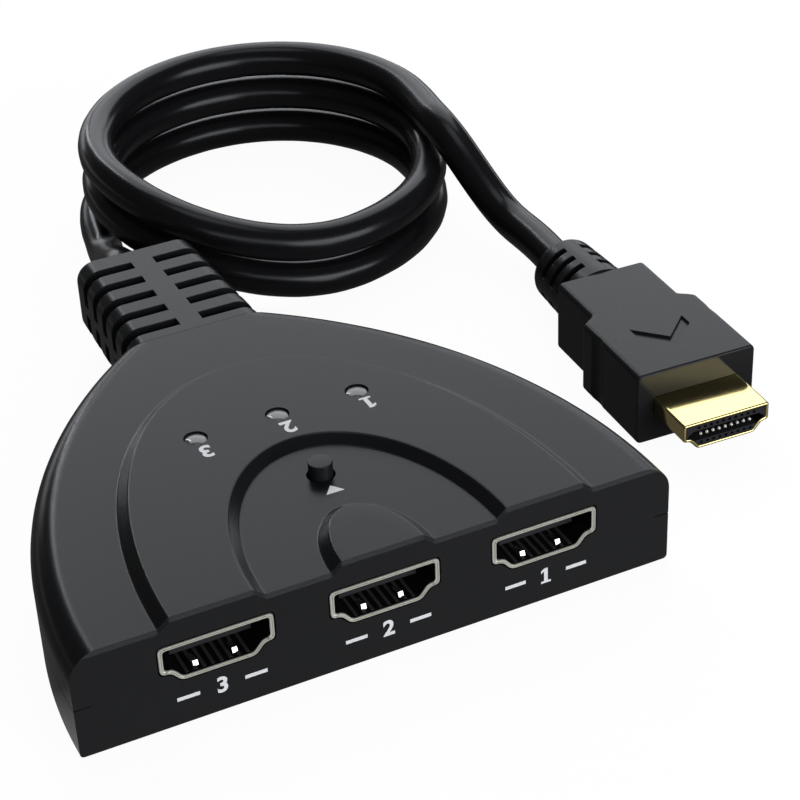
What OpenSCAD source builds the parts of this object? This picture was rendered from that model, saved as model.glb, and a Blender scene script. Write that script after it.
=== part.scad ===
// Three-input HDMI switch box with a captive output cable that lies coiled behind it.
// The port face looks along -Y, the cable leaves at +Y and +Z is up. Sizes are in millimetres.
// The origin is on the base, in the middle of the box that holds the case and its cable boot.

/* [Case] */
// Width of the case across its port face
case_w = 83; // [80:0.5:100]
// Length of the case from the port face to the flat end round the boot
case_len = 64.8; // [64:0.1:80]
// Height of the flat top over the base
case_h = 15.4; // [15.4:0.1:19]
// Thickness of the side walls
wall = 2.2; // [1.6:0.1:2.6]
// Thickness of the roof
roof_t = 1.8; // [1.2:0.1:2.2]
// Thickness of the floor
floor_t = 1.8; // [1.4:0.1:2.2]
// Height of the seam between the two covers
seam_z = 7.5; // [7:0.1:8.4]
// Width of the shadow line at the seam
seam_gap = 0.15; // [0.05:0.05:0.4]
// Radius along the top edge of the sides
top_round = 3.9; // [2:0.1:4.5]
// Radius along the bottom edge of the sides
base_round = 0.6; // [0.6:0.1:1.8]
// Chamfer along the top edge of the port face
front_chamfer = 0.3; // [0.2:0.1:1]
// Thickness of the port plate
panel_t = 2; // [1.6:0.1:2.2]

/* [Raised crescents] */
// Half width of the outer raised field
crest_rx = 28.4; // [24:0.1:32]
// Length of the outer raised field
crest_ry = 49; // [44:0.1:52]
// Half width of the sunk field inside it
dip_rx = 17.4; // [14:0.1:20]
// Length of the sunk field
dip_ry = 27.9; // [25:0.1:29]
// Half width of the raised island at the front
island_rx = 5.6; // [3:0.1:8]
// Length of the raised island
island_ry = 10.6; // [6:0.1:13]
// Height of the raised fields over the flat top
crest_rise = 1.25; // [0.6:0.05:2]
// Run of the sloped edges
crest_slope = 1.5; // [0.6:0.1:2]

/* [Input ports] */
// Distance between neighbouring ports
port_pitch = 22.75; // [19:0.05:24]
// Height of the ports' middle
port_z = 9.7; // [9.4:0.1:10]
// Width of a port's opening, from the connector standard
hdmi_w = 14; // [13.8:0.05:14.2]
// Height of a port's opening, from the connector standard
hdmi_h = 4.55; // [4.4:0.05:4.7]
// Height of the narrow foot of the opening
hdmi_step = 1.55; // [1.2:0.05:1.8]
// Width of the narrow foot at its bottom
hdmi_foot_w = 9.3; // [8.8:0.1:10]
// Run of the foot's slanted sides
hdmi_slant = 1.3; // [0.8:0.1:1.6]
// Sheet thickness of a port's shell
shell_t = 0.4; // [0.3:0.05:0.5]
// Thickness of the turned lip that shows round the opening
lip_t = 0.6; // [0.5:0.05:0.8]
// How far the lip stands out of the port plate
lip_out = 0.1; // [0:0.1:0.6]
// Depth of a port's shell behind the port face
shell_len = 11.6; // [10.5:0.1:12.5]
// Gap between a lip and its window
window_gap = 0.2; // [0.15:0.05:0.5]
// Width of the contact tongue
tongue_w = 10.8; // [10:0.1:11.6]
// Thickness of the contact tongue
tongue_t = 1; // [0.8:0.05:1.2]
// Distance of the tongue's tip behind the port face
tongue_y = 2.4; // [1:0.1:3]

/* [Lamps and button] */
// Diameter of a lamp's lens
led_d = 3; // [2.6:0.1:3.4]
// Distance between neighbouring lamps
led_pitch = 11.9; // [9:0.05:14]
// Distance of the lamps behind the port face
led_y = 34.2; // [31.6:0.1:37]
// Height of a lamp's low dome over the raised field
led_rise = 0.45; // [0.2:0.05:1]
// Diameter of the select button
button_d = 3.3; // [2.6:0.1:3.6]
// Distance of the button behind the port face
button_y = 20; // [18.4:0.1:23]
// Height of the button over the flat top
button_rise = 2.1; // [1:0.1:3]
// Travel of the button
button_travel = 0.3; // [0.2:0.05:0.4]
// Distance of the lamps' and the button's middle line to the right of the case's
lamp_x = 0.5; // [0:0.1:1]
// Gap round the button in the roof
roof_gap = 0.3; // [0.15:0.05:0.4]

/* [Circuit board] */
// Thickness of the board
board_t = 1.6; // [1:0.1:1.6]
// Gap between the board and the side walls
board_gap = 0.5; // [0.3:0.1:1]
// Length of the board, from the port plate
board_len = 53; // [51:0.5:54]

/* [Cable boot] */
// Width of the boot at the case
boot_w = 21.4; // [18:0.1:21.8]
// Width of the boot at its far end
boot_tip_w = 19.2; // [16:0.1:20]
// Height of the boot's underside over the base
boot_z = 3.2; // [2.6:0.1:4]
// Distance of the boot's shoulder behind the port face
boot_y = 62.8; // [62.4:0.1:63.2]
// Length of the boot from its shoulder
boot_len = 26.8; // [26:0.1:30]
// Radius of the boot's long edges
boot_round = 3; // [2:0.1:3.4]
// Width of a slot
slot_w = 1.95; // [0.8:0.05:2.2]
// Distance between neighbouring slots
slot_pitch = 4.75; // [4.2:0.05:5]
// Depth of the slots
slot_depth = 1.6; // [1:0.1:2.2]
// Web that is left in the middle of the top and the underside
slot_web = 3.5; // [2.5:0.1:5]
// Web that is left half way up the sides
slot_side_web = 1.6; // [1:0.1:2.4]

/* [Cable and plug] */
// Diameter of the cable
cable_d = 6; // [5.6:0.1:6.1]
// Radius of the coil at the middle of the cable
coil_r = 28.2; // [28.1:0.1:28.3]
// Height that one turn of the coil takes
coil_pitch = 6.6; // [6.55:0.05:6.75]
// Width of the plug's grip
plug_w = 19; // [17:0.1:21]
// Width of the plug's narrow rear part
plug_neck_w = 14.8; // [14:0.1:16.5]
// Thickness of the plug's grip
plug_h = 11.6; // [11.6:0.1:12]
// Length of the plug's grip
plug_len = 28.8; // [26:0.1:28.8]
// Length of the plug's metal shell that shows
plug_nose = 8.6; // [8:0.1:12]
// Diameter of the plug's strain relief at the grip
relief_d = 12.4; // [11:0.1:12.6]
// Diameter of the strain relief at its far end
relief_tip_d = 11.2; // [10:0.1:11.4]
// Length of the strain relief
relief_len = 12.4; // [11.4:0.1:12.6]

/* [Hidden] */
eps = 0.01;
round_faces = 48;

// Plan of the case: straight for a little way, then one arc a side to the flat end round the boot
arc_y = 2;
boot_play = 0.1;
end_half = boot_w / 2 + boot_play + 0.2;
arc_in = case_w / 2 - end_half;
arc_r = (arc_in * arc_in + (case_len - arc_y) * (case_len - arc_y)) / (2 * arc_in);
arc_x = arc_r - case_w / 2;
arc_steps = 20;

// Whole length from the ports' lips to the boot's end, which sets the origin
boot_end = boot_y + boot_len;
front_y = (lip_out - boot_end) / 2;

// Heights of the roof's underside and of the raised fields
roof_z = case_h - roof_t;
crest_z = case_h + crest_rise;
cavity_step_z = roof_z - 2;
cavity_step = 1.6;
end_wall = 2;
cavity_end = boot_y - end_wall;

// The board lies under the ports' shells
board_z = port_z - hdmi_h / 2 - shell_t;
board_under = board_z - board_t;
board_front = panel_t + board_gap;
board_end = panel_t + board_len;

// Tongues of the port plate that sit in grooves of the side walls
panel_tongue = 1;
panel_tongue_t = 1;
panel_half = case_w / 2 - wall;
panel_play = 0.05;

// Rim of the bottom cover that centres the top cover
rim_t = 0.8;
rim_h = 1;
rim_play = 0.1;
seam_depth = 0.4;

// Case screws, driven from below through the board into the top cover's posts
screw_r = 0.95;
screw_head_r = 1.8;
screw_head_h = 1.3;
screw_sunk = 0.3;
screw_len = 9.5;
screw_play = 0.05;
screw_free = 0.2;
boss_r = 2.6;
post_r = 2.4;
screw_front_y = 16;
screw_back_y = 51;
screw_inset = boss_r + 2.2;
function screw_x(y) = half_width(y, wall) - screw_inset + 1.4;
screw_places = [
    for (side = [-1, 1], y = [screw_front_y, screw_back_y]) [side * screw_x(y), y]
];

// Port contacts
contact_t = 0.12;
contact_w = 0.3;
contact_play = 0.05;
contact_pitch = 1;
contacts_top = 10;
contacts_low = 9;
contact_start = tongue_y + 0.4;
contact_tail = shell_len + 0.3;
contact_foot = 0.9;
core_back = 2;
port_xs = [port_pitch, 0, -port_pitch];

// Legs of a port's shell, which pass through slots of the board
leg_ys = [4.2, 9.4];
leg_w = 1;
leg_play = 0.2;
leg_below = 0.8;
spring_x = 2.6;
spring_w = 1;
spring_len = 2.6;
spring_h = 0.3;
spring_y = 2.6;

// Lamps
led_xs = [lamp_x + led_pitch, lamp_x, lamp_x - led_pitch];
led_gap = 0.25;
led_cap_r = (led_d * led_d / 4 + led_rise * led_rise) / (2 * led_rise);
led_cap_steps = 5;
led_flange_r = led_d / 2 + 0.4;
led_flange_t = 1;
led_play = 0.1;
led_z = roof_z - led_play - led_flange_t;
led_pin = 0.5;
led_pin_pitch = 2.54;
led_pin_play = 0.15;
led_pin_below = 0.8;

// Tact switch under the select button
tact_w = 6;
tact_h = 3.2;
tact_sheet = 0.3;
tact_well_r = 2.5;
tact_well_h = 1.8;
tact_top = board_z + tact_h;
tact_flap_h = 1.6;
tact_leg_w = 0.7;
tact_leg_t = 0.2;
tact_leg_out = 1.4;
tact_leg_y = 2.1;
button_r = button_d / 2;
button_flange_r = 2.2;
button_flange_t = 0.7;
button_play = 0.15;
button_nub_r = 0.6;
button_nub_h = 0.35;
button_round = 0.15;
flange_top = tact_top - button_play;
dome_r = 2.2;
dome_t = 0.1;
dome_h = tact_well_h - button_play - button_flange_t - button_nub_h - button_play;
dome_ball = (dome_r * dome_r + dome_h * dome_h) / (2 * dome_h);

// Chips and small parts on the board
chip_y = 44;
chip_w = 7;
chip_t = 1.4;
chip_lift = 0.1;
chip_leads_a_side = 12;
chip_lead_pitch = 0.5;
chip_lead_w = 0.22;
chip_lead_t = 0.15;
chip_lead_out = 1;
chip_lead_z = 0.7;
control_x = 20;
control_y = 30;
control_w = 4;
control_len = 5;
control_leads = 4;
control_lead_pitch = 1.27;
chip_part_w = 0.8;
chip_part_len = 1.6;
capacitor_t = 0.8;
capacitor_pitch = 2;
capacitors_a_side = 4;
capacitor_gap = 4;
resistor_t = 0.5;
led_resistor_gap = 4;
port_part_gap = 2.6;
port_part_pitch = 2.6;

// Boot: neck through the end wall, with a flange inside the case
neck_w = 14;
neck_h = 6.4;
neck_play = 0.1;
flange_w = 17.5;
flange_h = 8;
flange_t = 2;
boot_mid = (boot_z + case_h) / 2;
boot_edge = 0.6;
slot_first = 3.8;
slot_count = 5;
round_steps = 5;

// Wires from the boot to the board
wire_r = 0.55;
wire_pitch = 1.5;
wire_count = 8;
wire_land_y = board_end - 2;

// Plug, lying on the same surface as the case
plug_x = 61.4;
plug_y = 24.4;
plug_turn = -2;
plug_mid = plug_h / 2;
nose_drop = 0.55;
plug_round = 0.9;
plug_edge = 0.4;
plug_step_y = 16.2;
plug_step_run = 2.2;
scoop_y = 11.95;
scoop_w = 3.7;
scoop_depth = 0.5;
scoop_r = (scoop_w * scoop_w / 4 + scoop_depth * scoop_depth) / (2 * scoop_depth);
plug_play = 0.05;
plug_seat = 3;
plug_recess = 0.6;
pin_slot_w = tongue_w + 0.5;
pin_slot_h = tongue_t + 0.6;
pin_slot_end = 1.2;
pin_channel_w = 0.5;
pin_channel_h = 0.45;
pin_w = 0.32;
pin_t = 0.2;
pin_set_back = 0.8;
relief_slots = 3;
relief_slot_w = 1.3;
relief_slot_pitch = 2.95;
relief_slot_first = 2.65;
relief_slot_depth = 1.5;
relief_web = 2.6;
relief_round = 0.8;
relief_end = plug_len + relief_len;
relief_mid = relief_d / 2;
function on_plug(y) = [plug_x - sin(plug_turn) * y, plug_y + cos(plug_turn) * y, relief_mid];

// Route of the cable, measured from the port face. It leaves the boot, drops to the table,
// makes the coil's turns and comes down over the coil's right side to the plug.
coil_x = 33;
coil_y = 115.8;
coil_stretch = 1.038;
coil_skew = 0.034;
coil_from = 12;
coil_to = 906;
coil_steps = 66;
coil_flare = 1.4;
climb_start = 262;
climb_span = 96;
tube_sides = 8;
straight = 2;
exit_points = [
    [0.05, 94.5, 9.1], [0.18, 97, 8.5], [0.38, 99.5, 7.6], [0.65, 102, 6.5], [0.97, 104.5, 5.4], [1.35, 107, 4.4],
    [1.78, 109.5, 3.6], [2.25, 112, 3.1]
];
lead_points = [
    [60.17, 104.4, 16.16], [60.23, 102, 15.72], [60.42, 99.6, 14.89], [60.69, 97.2, 13.73], [61.06, 94.6, 12.23],
    [61.5, 92, 10.62], [61.95, 89.4, 9.07], [62.39, 86.8, 7.73], [62.77, 84.2, 6.78], [63.06, 81.6, 6.3],
    [63.22, 79, 6.2], [63.28, 76, 6.21], [63.21, 73, 6.2], [63.02, 70, 6.2]
];

function smooth_step(u) = u <= 0 ? 0 : u >= 1 ? 1 : (1 - cos(180 * u)) / 2;
function coil_height(a) =
    let (turn = floor(a / 360))
    cable_d / 2 + coil_pitch * (turn + smooth_step((a - 360 * turn - climb_start) / climb_span));
function coil_point(a) =
    let (r = coil_r + coil_flare * (1 - smooth_step(a / 90)))
    [coil_x - r * cos(a), coil_y + r * (coil_stretch * sin(a) - coil_skew * cos(a)), coil_height(a)];
function coil_heading(a) =
    let (ahead = [sin(a), coil_stretch * cos(a) + coil_skew * sin(a), 0])
    ahead / norm(ahead);
coil_start = coil_point(coil_from) - cable_d * coil_heading(coil_from);
coil_end = coil_point(coil_to) + cable_d * coil_heading(coil_to);
coil_points = concat(
    [coil_start],
    [for (i = [0 : coil_steps]) coil_point(coil_from + (coil_to - coil_from) * i / coil_steps)],
    [coil_end]
);
exit_route = concat(
    [[0, boot_end, boot_mid], [0, boot_end + straight, boot_mid]],
    exit_points,
    [coil_start - straight * coil_heading(coil_from), coil_start]
);
lead_route = concat(
    [coil_end, coil_end + straight / 2 * coil_heading(coil_to)],
    lead_points,
    [on_plug(relief_end + straight), on_plug(relief_end)]
);
whole_route = concat(exit_route, coil_points, lead_route);
route_gaps = [
    for (i = [0 : len(whole_route) - 1], j = [i + 12 : 1 : len(whole_route) - 1])
        norm(whole_route[i] - whole_route[j]) - cable_d
];
route_steps = [for (i = [1 : len(whole_route) - 1]) norm(whole_route[i] - whole_route[i - 1])];
echo(least_gap_of_the_cable_to_itself = min(route_gaps));
echo(length_of_the_cable = route_steps * [for (step = route_steps) 1]);

// Solid through a list of rings, each counted the same way round as seen from the last one
module loft(rings) {
    n = len(rings[0]);
    last = len(rings) - 1;
    polyhedron(
        points = [for (ring = rings, point = ring) point],
        faces = concat(
            [[for (i = [0 : n - 1]) i]],
            [[for (i = [n - 1 : -1 : 0]) last * n + i]],
            [
                for (k = [0 : last - 1], i = [0 : n - 1], half = [0, 1])
                    let (a = k * n + i, b = k * n + (i + 1) % n)
                    half == 0 ? [a, a + n, b + n] : [a, b + n, b]
            ]
        )
    );
}

// Tube of the cable's diameter along a list of points, square to its first and last stretch
module cable_tube(points) {
    last = len(points) - 1;
    loft([
        for (i = [0 : last])
            let (
                run = points[min(i + 1, last)] - points[max(i - 1, 0)],
                ahead = run / norm(run),
                aside = cross(ahead, [0, 0, 1]) / norm(cross(ahead, [0, 0, 1])),
                over = cross(ahead, aside)
            )
            [
                for (k = [0 : tube_sides - 1])
                    let (a = (k + 0.5) * 360 / tube_sides, r = cable_d / 2)
                    points[i] + r * cos(a) * aside + r * sin(a) * over
            ]
    ]);
}

// Profile in X and Z carried along Y from one distance to another
module along_y(from, to) {
    translate([0, to, 0]) rotate([90, 0, 0]) linear_extrude(to - from) children();
}

module from_front() {
    translate([0, front_y, 0]) children();
}

// Half width of the case in plan, pulled in by d, at a distance behind the port face
function half_width(y, d) =
    y <= arc_y ? case_w / 2 - d : sqrt((arc_r - d) * (arc_r - d) - (y - arc_y) * (y - arc_y)) - arc_x;

// Plan of the case pulled in by d, between a front line and a flat end
function right_side(d, front, end) =
    let (
        first = asin(max(0, front - arc_y) / (arc_r - d)),
        last = asin((end - arc_y) / (arc_r - d))
    )
    concat(
        front < arc_y ? [[case_w / 2 - d, front]] : [],
        [
            for (i = [0 : arc_steps])
                let (a = first + (last - first) * i / arc_steps)
                [(arc_r - d) * cos(a) - arc_x, arc_y + (arc_r - d) * sin(a)]
        ]
    );
function plan(d, front, end) =
    let (right = right_side(d, front, end))
    concat(right, [for (i = [len(right) - 1 : -1 : 0]) [-right[i][0], right[i][1]]]);
function at_height(points, z) = [for (p = points) [p[0], p[1], z]];

// Ring of the case's skin at a height, with the rounded top edge and the chamfer at the port face
function top_ring(a) =
    let (d = top_round * (1 - cos(a)), z = case_h - top_round * (1 - sin(a)))
    at_height(plan(d, max(0, z - case_h + front_chamfer), case_len), z);
function base_ring(a) =
    let (d = base_round * (1 - sin(a)))
    at_height(plan(d, 0, case_len - d), base_round * (1 - cos(a)));

// Half ellipse on the port face's line, cut off in front
function crescent(rx, ry, front, z) =
    let (first = asin(front / ry), steps = 36)
    [
        for (i = [0 : steps])
            let (a = first + (180 - 2 * first) * i / steps)
            [rx * cos(a), ry * sin(a), z]
    ];

// Raised field with sloped edges, flush with the port face up to its chamfer
module raised_field(rx, ry) {
    function spread(z) = crest_slope * (crest_z - z) / crest_rise;
    low = case_h - front_chamfer;
    high = crest_z - front_chamfer;
    loft([
        crescent(rx + spread(low), ry + spread(low), 0, low),
        crescent(rx + spread(high), ry + spread(high), 0, high),
        crescent(rx, ry, front_chamfer, crest_z)
    ]);
}

module sunk_field(rx, ry) {
    low = case_h - front_chamfer - 0.1;
    high = crest_z + 0.5;
    function spread(z) = crest_slope * (z - crest_z) / crest_rise;
    loft([
        crescent(rx + spread(low), ry + spread(low), -1, low),
        crescent(rx + spread(high), ry + spread(high), -1, high)
    ]);
}

// Room inside both covers, open towards the port plate
module cavity(from, to) {
    translate([0, 0, from]) linear_extrude(min(to, cavity_step_z) - from)
        polygon(plan(wall, -1, cavity_end));
    if (to > cavity_step_z)
        translate([0, 0, cavity_step_z - eps]) linear_extrude(to - cavity_step_z + eps)
            polygon(plan(wall + cavity_step, -1, cavity_end));
}

// Grooves that hold the port plate's tongues
module panel_grooves(from, to) {
    for (side = [-1, 1])
        translate([side * panel_half - panel_tongue, panel_t - panel_tongue_t, from])
            cube([2 * panel_tongue, panel_tongue_t, to - from]);
}

// Space for the boot in the end of the case, and for its neck through the end wall
module boot_space() {
    translate([-boot_w / 2 - boot_play, boot_y, boot_z - 2 * boot_play])
        cube([boot_w + 2 * boot_play, case_len, case_h]);
    translate([-neck_w / 2 - neck_play, cavity_end - 1, boot_mid - neck_h / 2 - neck_play])
        cube([neck_w + 2 * neck_play, end_wall + 2, neck_h + 2 * neck_play]);
}

// Band inside the side walls, where the bottom cover's rim meets the top cover
module rim_band(out, high) {
    intersection() {
        linear_extrude(high) difference() {
            polygon(plan(wall - out, -1, case_len));
            polygon(plan(wall + eps, -2, case_len + 1));
        }
        translate([-case_w, panel_t + 1, -1]) cube([2 * case_w, cavity_end - panel_t - 1, high + 2]);
    }
}

module top_cover() {
    color("dimgray") from_front() difference() {
        union() {
            difference() {
                union() {
                    loft(concat(
                        [at_height(plan(0, 0, case_len), seam_z)],
                        [for (i = [0 : round_steps]) top_ring(90 * i / round_steps)]
                    ));
                    difference() {
                        raised_field(crest_rx, crest_ry);
                        sunk_field(dip_rx, dip_ry);
                    }
                    raised_field(island_rx, island_ry);
                }
                cavity(seam_z - 1, roof_z);
                panel_grooves(seam_z - 1, cavity_step_z);
                translate([0, 0, seam_z - eps]) rim_band(rim_t + rim_play, rim_h + rim_play);
                boot_space();
            }
            for (p = screw_places)
                translate([p[0], p[1], board_z]) cylinder(r = post_r, h = roof_z - board_z + eps, $fn = round_faces);
        }
        for (p = screw_places)
            translate([p[0], p[1], board_z - 1])
                cylinder(r = screw_r + screw_play, h = screw_len, $fn = round_faces);
        for (x = led_xs)
            translate([x, led_y, roof_z - 1])
                cylinder(d = led_d + 2 * led_gap, h = case_h, $fn = round_faces);
        translate([lamp_x, button_y, roof_z - 1])
            cylinder(r = button_r + roof_gap, h = case_h, $fn = round_faces);
    }
}

module bottom_cover() {
    head_z = screw_sunk + screw_head_h;
    color("dimgray") from_front() difference() {
        union() {
            difference() {
                union() {
                    loft(concat(
                        [for (i = [0 : 3]) base_ring(30 * i)],
                        [at_height(plan(0, 0, case_len), seam_z - seam_gap)]
                    ));
                    translate([0, 0, seam_z - seam_gap - eps]) linear_extrude(seam_gap + eps)
                        polygon(plan(seam_depth, seam_depth, case_len - seam_depth));
                }
                cavity(floor_t, seam_z + 1);
                panel_grooves(-1, seam_z + 1);
                translate([-panel_half, -1, -1]) cube([2 * panel_half, 1 + panel_t, case_h]);
                boot_space();
            }
            translate([0, 0, seam_z - eps]) rim_band(rim_t, rim_h);
            for (p = screw_places)
                translate([p[0], p[1], floor_t - eps])
                    cylinder(r = boss_r, h = board_under - floor_t + eps, $fn = round_faces);
        }
        for (p = screw_places) translate([p[0], p[1], -1]) {
            cylinder(r = screw_r + screw_free, h = case_h, $fn = round_faces);
            cylinder(r = screw_head_r + screw_free, h = 1 + head_z, $fn = round_faces);
        }
    }
}

// Opening of a port or outline of a plug in X and Z, grown by g all round
function port_profile(g) =
    let (
        half = hdmi_w / 2 + g,
        high = hdmi_h / 2 + g,
        step_z = -hdmi_h / 2 + hdmi_step - g,
        slant = g * tan(atan2(hdmi_step, hdmi_slant) / 2),
        foot = hdmi_foot_w / 2 + slant,
        corner = 0.5 + 0.6 * g
    )
    [
        [-half, step_z], [-foot - hdmi_slant, step_z], [-foot, -high], [foot, -high],
        [foot + hdmi_slant, step_z], [half, step_z],
        [half, high - corner], [half - 0.3 * corner, high - 0.3 * corner], [half - corner, high],
        [corner - half, high], [0.3 * corner - half, high - 0.3 * corner], [-half, high - corner]
    ];

module port_plate() {
    tongue_half = panel_half + panel_tongue - panel_play;
    color("dimgray") from_front() difference() {
        union() {
            along_y(0, panel_t) polygon([
                [-panel_half, 0], [panel_half, 0], [panel_half, cavity_step_z],
                [panel_half - cavity_step, cavity_step_z], [panel_half - cavity_step, roof_z],
                [cavity_step - panel_half, roof_z], [cavity_step - panel_half, cavity_step_z],
                [-panel_half, cavity_step_z]
            ]);
            translate([-tongue_half, panel_t - panel_tongue_t + panel_play, base_round + 0.2])
                cube([2 * tongue_half, panel_tongue_t - panel_play, cavity_step_z - base_round - 0.4]);
        }
        for (x = port_xs)
            translate([x, 0, port_z]) along_y(-1, panel_t + 1) polygon(port_profile(lip_t + window_gap));
    }
}

module case_screws() {
    slot = 0.5;
    color("silver") from_front() for (p = screw_places) translate([p[0], p[1], screw_sunk]) difference() {
        union() {
            cylinder(r = screw_head_r, h = screw_head_h, $fn = round_faces);
            cylinder(r = screw_r, h = screw_len, $fn = round_faces);
        }
        for (turn = [0, 90])
            rotate(turn) translate([-slot / 2, -slot * 2, -eps]) cube([slot, slot * 4, screw_head_h / 2]);
    }
}

module circuit_board() {
    color("darkgreen") from_front() translate([0, 0, board_under]) difference() {
        linear_extrude(board_t) polygon(plan(wall + board_gap, board_front, board_end));
        for (p = screw_places)
            translate([p[0], p[1], -1])
                cylinder(r = screw_r + screw_free, h = board_t + 2, $fn = round_faces);
        for (x = port_xs, side = [-1, 1], y = leg_ys)
            translate([x + side * (hdmi_w + shell_t) / 2, y, board_t / 2])
                cube([shell_t + 2 * leg_play, leg_w + 2 * leg_play, 2 * board_t], center = true);
        for (x = led_xs, side = [-1, 1])
            translate([x + side * led_pin_pitch / 2, led_y, -1])
                cylinder(d = led_pin * sqrt(2) + 2 * led_pin_play, h = board_t + 2, $fn = round_faces);
    }
}

// Sheet metal shell of a port with its turned lip, board legs and the springs on its floor
module hdmi_shell(number) {
    step_z = hdmi_step - hdmi_h / 2 - shell_t;
    leg_h = port_z + step_z - board_under + leg_below;
    color("gainsboro") from_front() translate([port_xs[number - 1], 0, port_z]) {
        along_y(-lip_out, shell_len) difference() {
            polygon(port_profile(shell_t));
            polygon(port_profile(0));
        }
        along_y(-lip_out, panel_t / 2) difference() {
            polygon(port_profile(lip_t));
            polygon(port_profile(shell_t / 2));
        }
        for (side = [-1, 1], y = leg_ys)
            translate([side * (hdmi_w + shell_t) / 2, y, step_z - leg_h / 2 + shell_t])
                cube([shell_t, leg_w, leg_h], center = true);
        for (side = [-1, 1])
            translate([side * spring_x - spring_w / 2, spring_y, -hdmi_h / 2 - eps])
                cube([spring_w, spring_len, spring_h]);
    }
}

// Side view in Y and Z of a contact: along the tongue, out of the back and down to the board
function contact_side(z, foot_z) = [
    [contact_start, z], [contact_start, z + contact_t], [contact_tail + contact_t, z + contact_t],
    [contact_tail + contact_t, foot_z + contact_t], [contact_tail + contact_foot, foot_z + contact_t],
    [contact_tail + contact_foot, foot_z], [contact_tail, foot_z], [contact_tail, z]
];
contact_rows = [[contacts_top, tongue_t / 2], [contacts_low, -tongue_t / 2 - contact_t]];
function contact_x(i, count) = (i - (count - 1) / 2) * contact_pitch;

module hdmi_core(number) {
    slot_w = contact_w + 2 * contact_play;
    slot_h = contact_t + contact_play;
    color("#1c1c1e") from_front() translate([port_xs[number - 1], 0, port_z]) {
        difference() {
            along_y(shell_len - core_back, shell_len) polygon(port_profile(-contact_play));
            for (row = contact_rows, i = [0 : row[0] - 1])
                translate([
                    contact_x(i, row[0]) - slot_w / 2, shell_len - core_back - 1,
                    row[1] - (row[1] < 0 ? contact_play : 0)
                ])
                    cube([slot_w, core_back + 2, slot_h]);
        }
        translate([-tongue_w / 2, tongue_y, -tongue_t / 2])
            cube([tongue_w, shell_len - core_back - tongue_y + eps, tongue_t]);
    }
}

module hdmi_contacts(number) {
    color("gold") from_front() translate([port_xs[number - 1], 0, port_z])
        for (row = contact_rows, i = [0 : row[0] - 1])
            translate([contact_x(i, row[0]) - contact_w / 2, 0, 0])
                rotate([90, 0, 90]) linear_extrude(contact_w)
                    polygon(contact_side(row[1], board_z - port_z));
}

module led(number) {
    cap_angle = asin(led_d / 2 / led_cap_r);
    top = crest_z + led_rise - led_z;
    color("lightgray") from_front() translate([led_xs[number - 1], led_y, led_z])
        rotate_extrude($fn = round_faces) polygon(concat(
            [[0, 0], [led_flange_r, 0], [led_flange_r, led_flange_t], [led_d / 2, led_flange_t]],
            [
                for (i = [led_cap_steps : -1 : 0])
                    let (a = cap_angle * i / led_cap_steps)
                    [led_cap_r * sin(a), top - led_cap_r * (1 - cos(a))]
            ]
        ));
}

module led_pins() {
    low = board_under - led_pin_below;
    color("silver") from_front() for (x = led_xs, side = [-1, 1])
        translate([x + side * led_pin_pitch / 2 - led_pin / 2, led_y - led_pin / 2, low])
            cube([led_pin, led_pin, led_z - low]);
}

// Plunger of the tact switch, whose long stem is the button on the roof
module select_button() {
    top = case_h + button_rise;
    color("#303034") from_front() translate([lamp_x, button_y, 0]) {
        translate([0, 0, flange_top - button_flange_t])
            cylinder(r = button_flange_r, h = button_flange_t, $fn = round_faces);
        translate([0, 0, flange_top - eps])
            cylinder(r = button_r, h = top - button_round - flange_top + 2 * eps, $fn = round_faces);
        translate([0, 0, top - button_round])
            cylinder(r1 = button_r, r2 = button_r - button_round, h = button_round, $fn = round_faces);
        translate([0, 0, flange_top - button_flange_t - button_nub_h])
            cylinder(r = button_nub_r, h = button_nub_h + eps, $fn = round_faces);
    }
}

module tact_base() {
    color("#202022") from_front() translate([lamp_x, button_y, board_z]) difference() {
        translate([-tact_w / 2, -tact_w / 2, 0]) cube([tact_w, tact_w, tact_h]);
        translate([0, 0, tact_h - tact_well_h])
            cylinder(r = tact_well_r, h = tact_h, $fn = round_faces);
    }
}

module tact_cover() {
    color("silver") from_front() translate([lamp_x, button_y, tact_top]) {
        difference() {
            translate([-tact_w / 2, -tact_w / 2, 0]) cube([tact_w, tact_w, tact_sheet]);
            translate([0, 0, -1]) cylinder(r = button_r + roof_gap, h = 3, $fn = round_faces);
        }
        for (side = [-1, 1])
            translate([-tact_w / 3, side * (tact_w + tact_sheet) / 2 - tact_sheet / 2, -tact_flap_h])
                cube([tact_w * 2 / 3, tact_sheet, tact_flap_h + tact_sheet]);
    }
}

// Domed spring disc in the well of the tact switch
module tact_dome() {
    ball_z = dome_h - dome_ball;
    color("silver") from_front() translate([lamp_x, button_y, tact_top - tact_well_h]) intersection() {
        translate([0, 0, ball_z]) difference() {
            sphere(r = dome_ball, $fn = round_faces);
            sphere(r = dome_ball - dome_t, $fn = round_faces);
        }
        cylinder(r = dome_r, h = tact_h, $fn = round_faces);
    }
}

module tact_legs() {
    color("silver") from_front() for (side_x = [0, 1], side_y = [-1, 1])
        translate([lamp_x, button_y + side_y * tact_leg_y - tact_leg_w / 2, board_z])
            mirror([side_x, 0, 0]) translate([tact_w / 2, 0, 0])
                cube([tact_leg_out, tact_leg_w, tact_leg_t]);
}

module switch_chip() {
    color("#1a1a1c") from_front() translate([-chip_w / 2, chip_y - chip_w / 2, board_z + chip_lift])
        cube([chip_w, chip_w, chip_t]);
}

module control_chip() {
    color("#1a1a1c") from_front()
        translate([control_x - control_w / 2, control_y - control_len / 2, board_z + chip_lift])
            cube([control_w, control_len, chip_t]);
}

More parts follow.
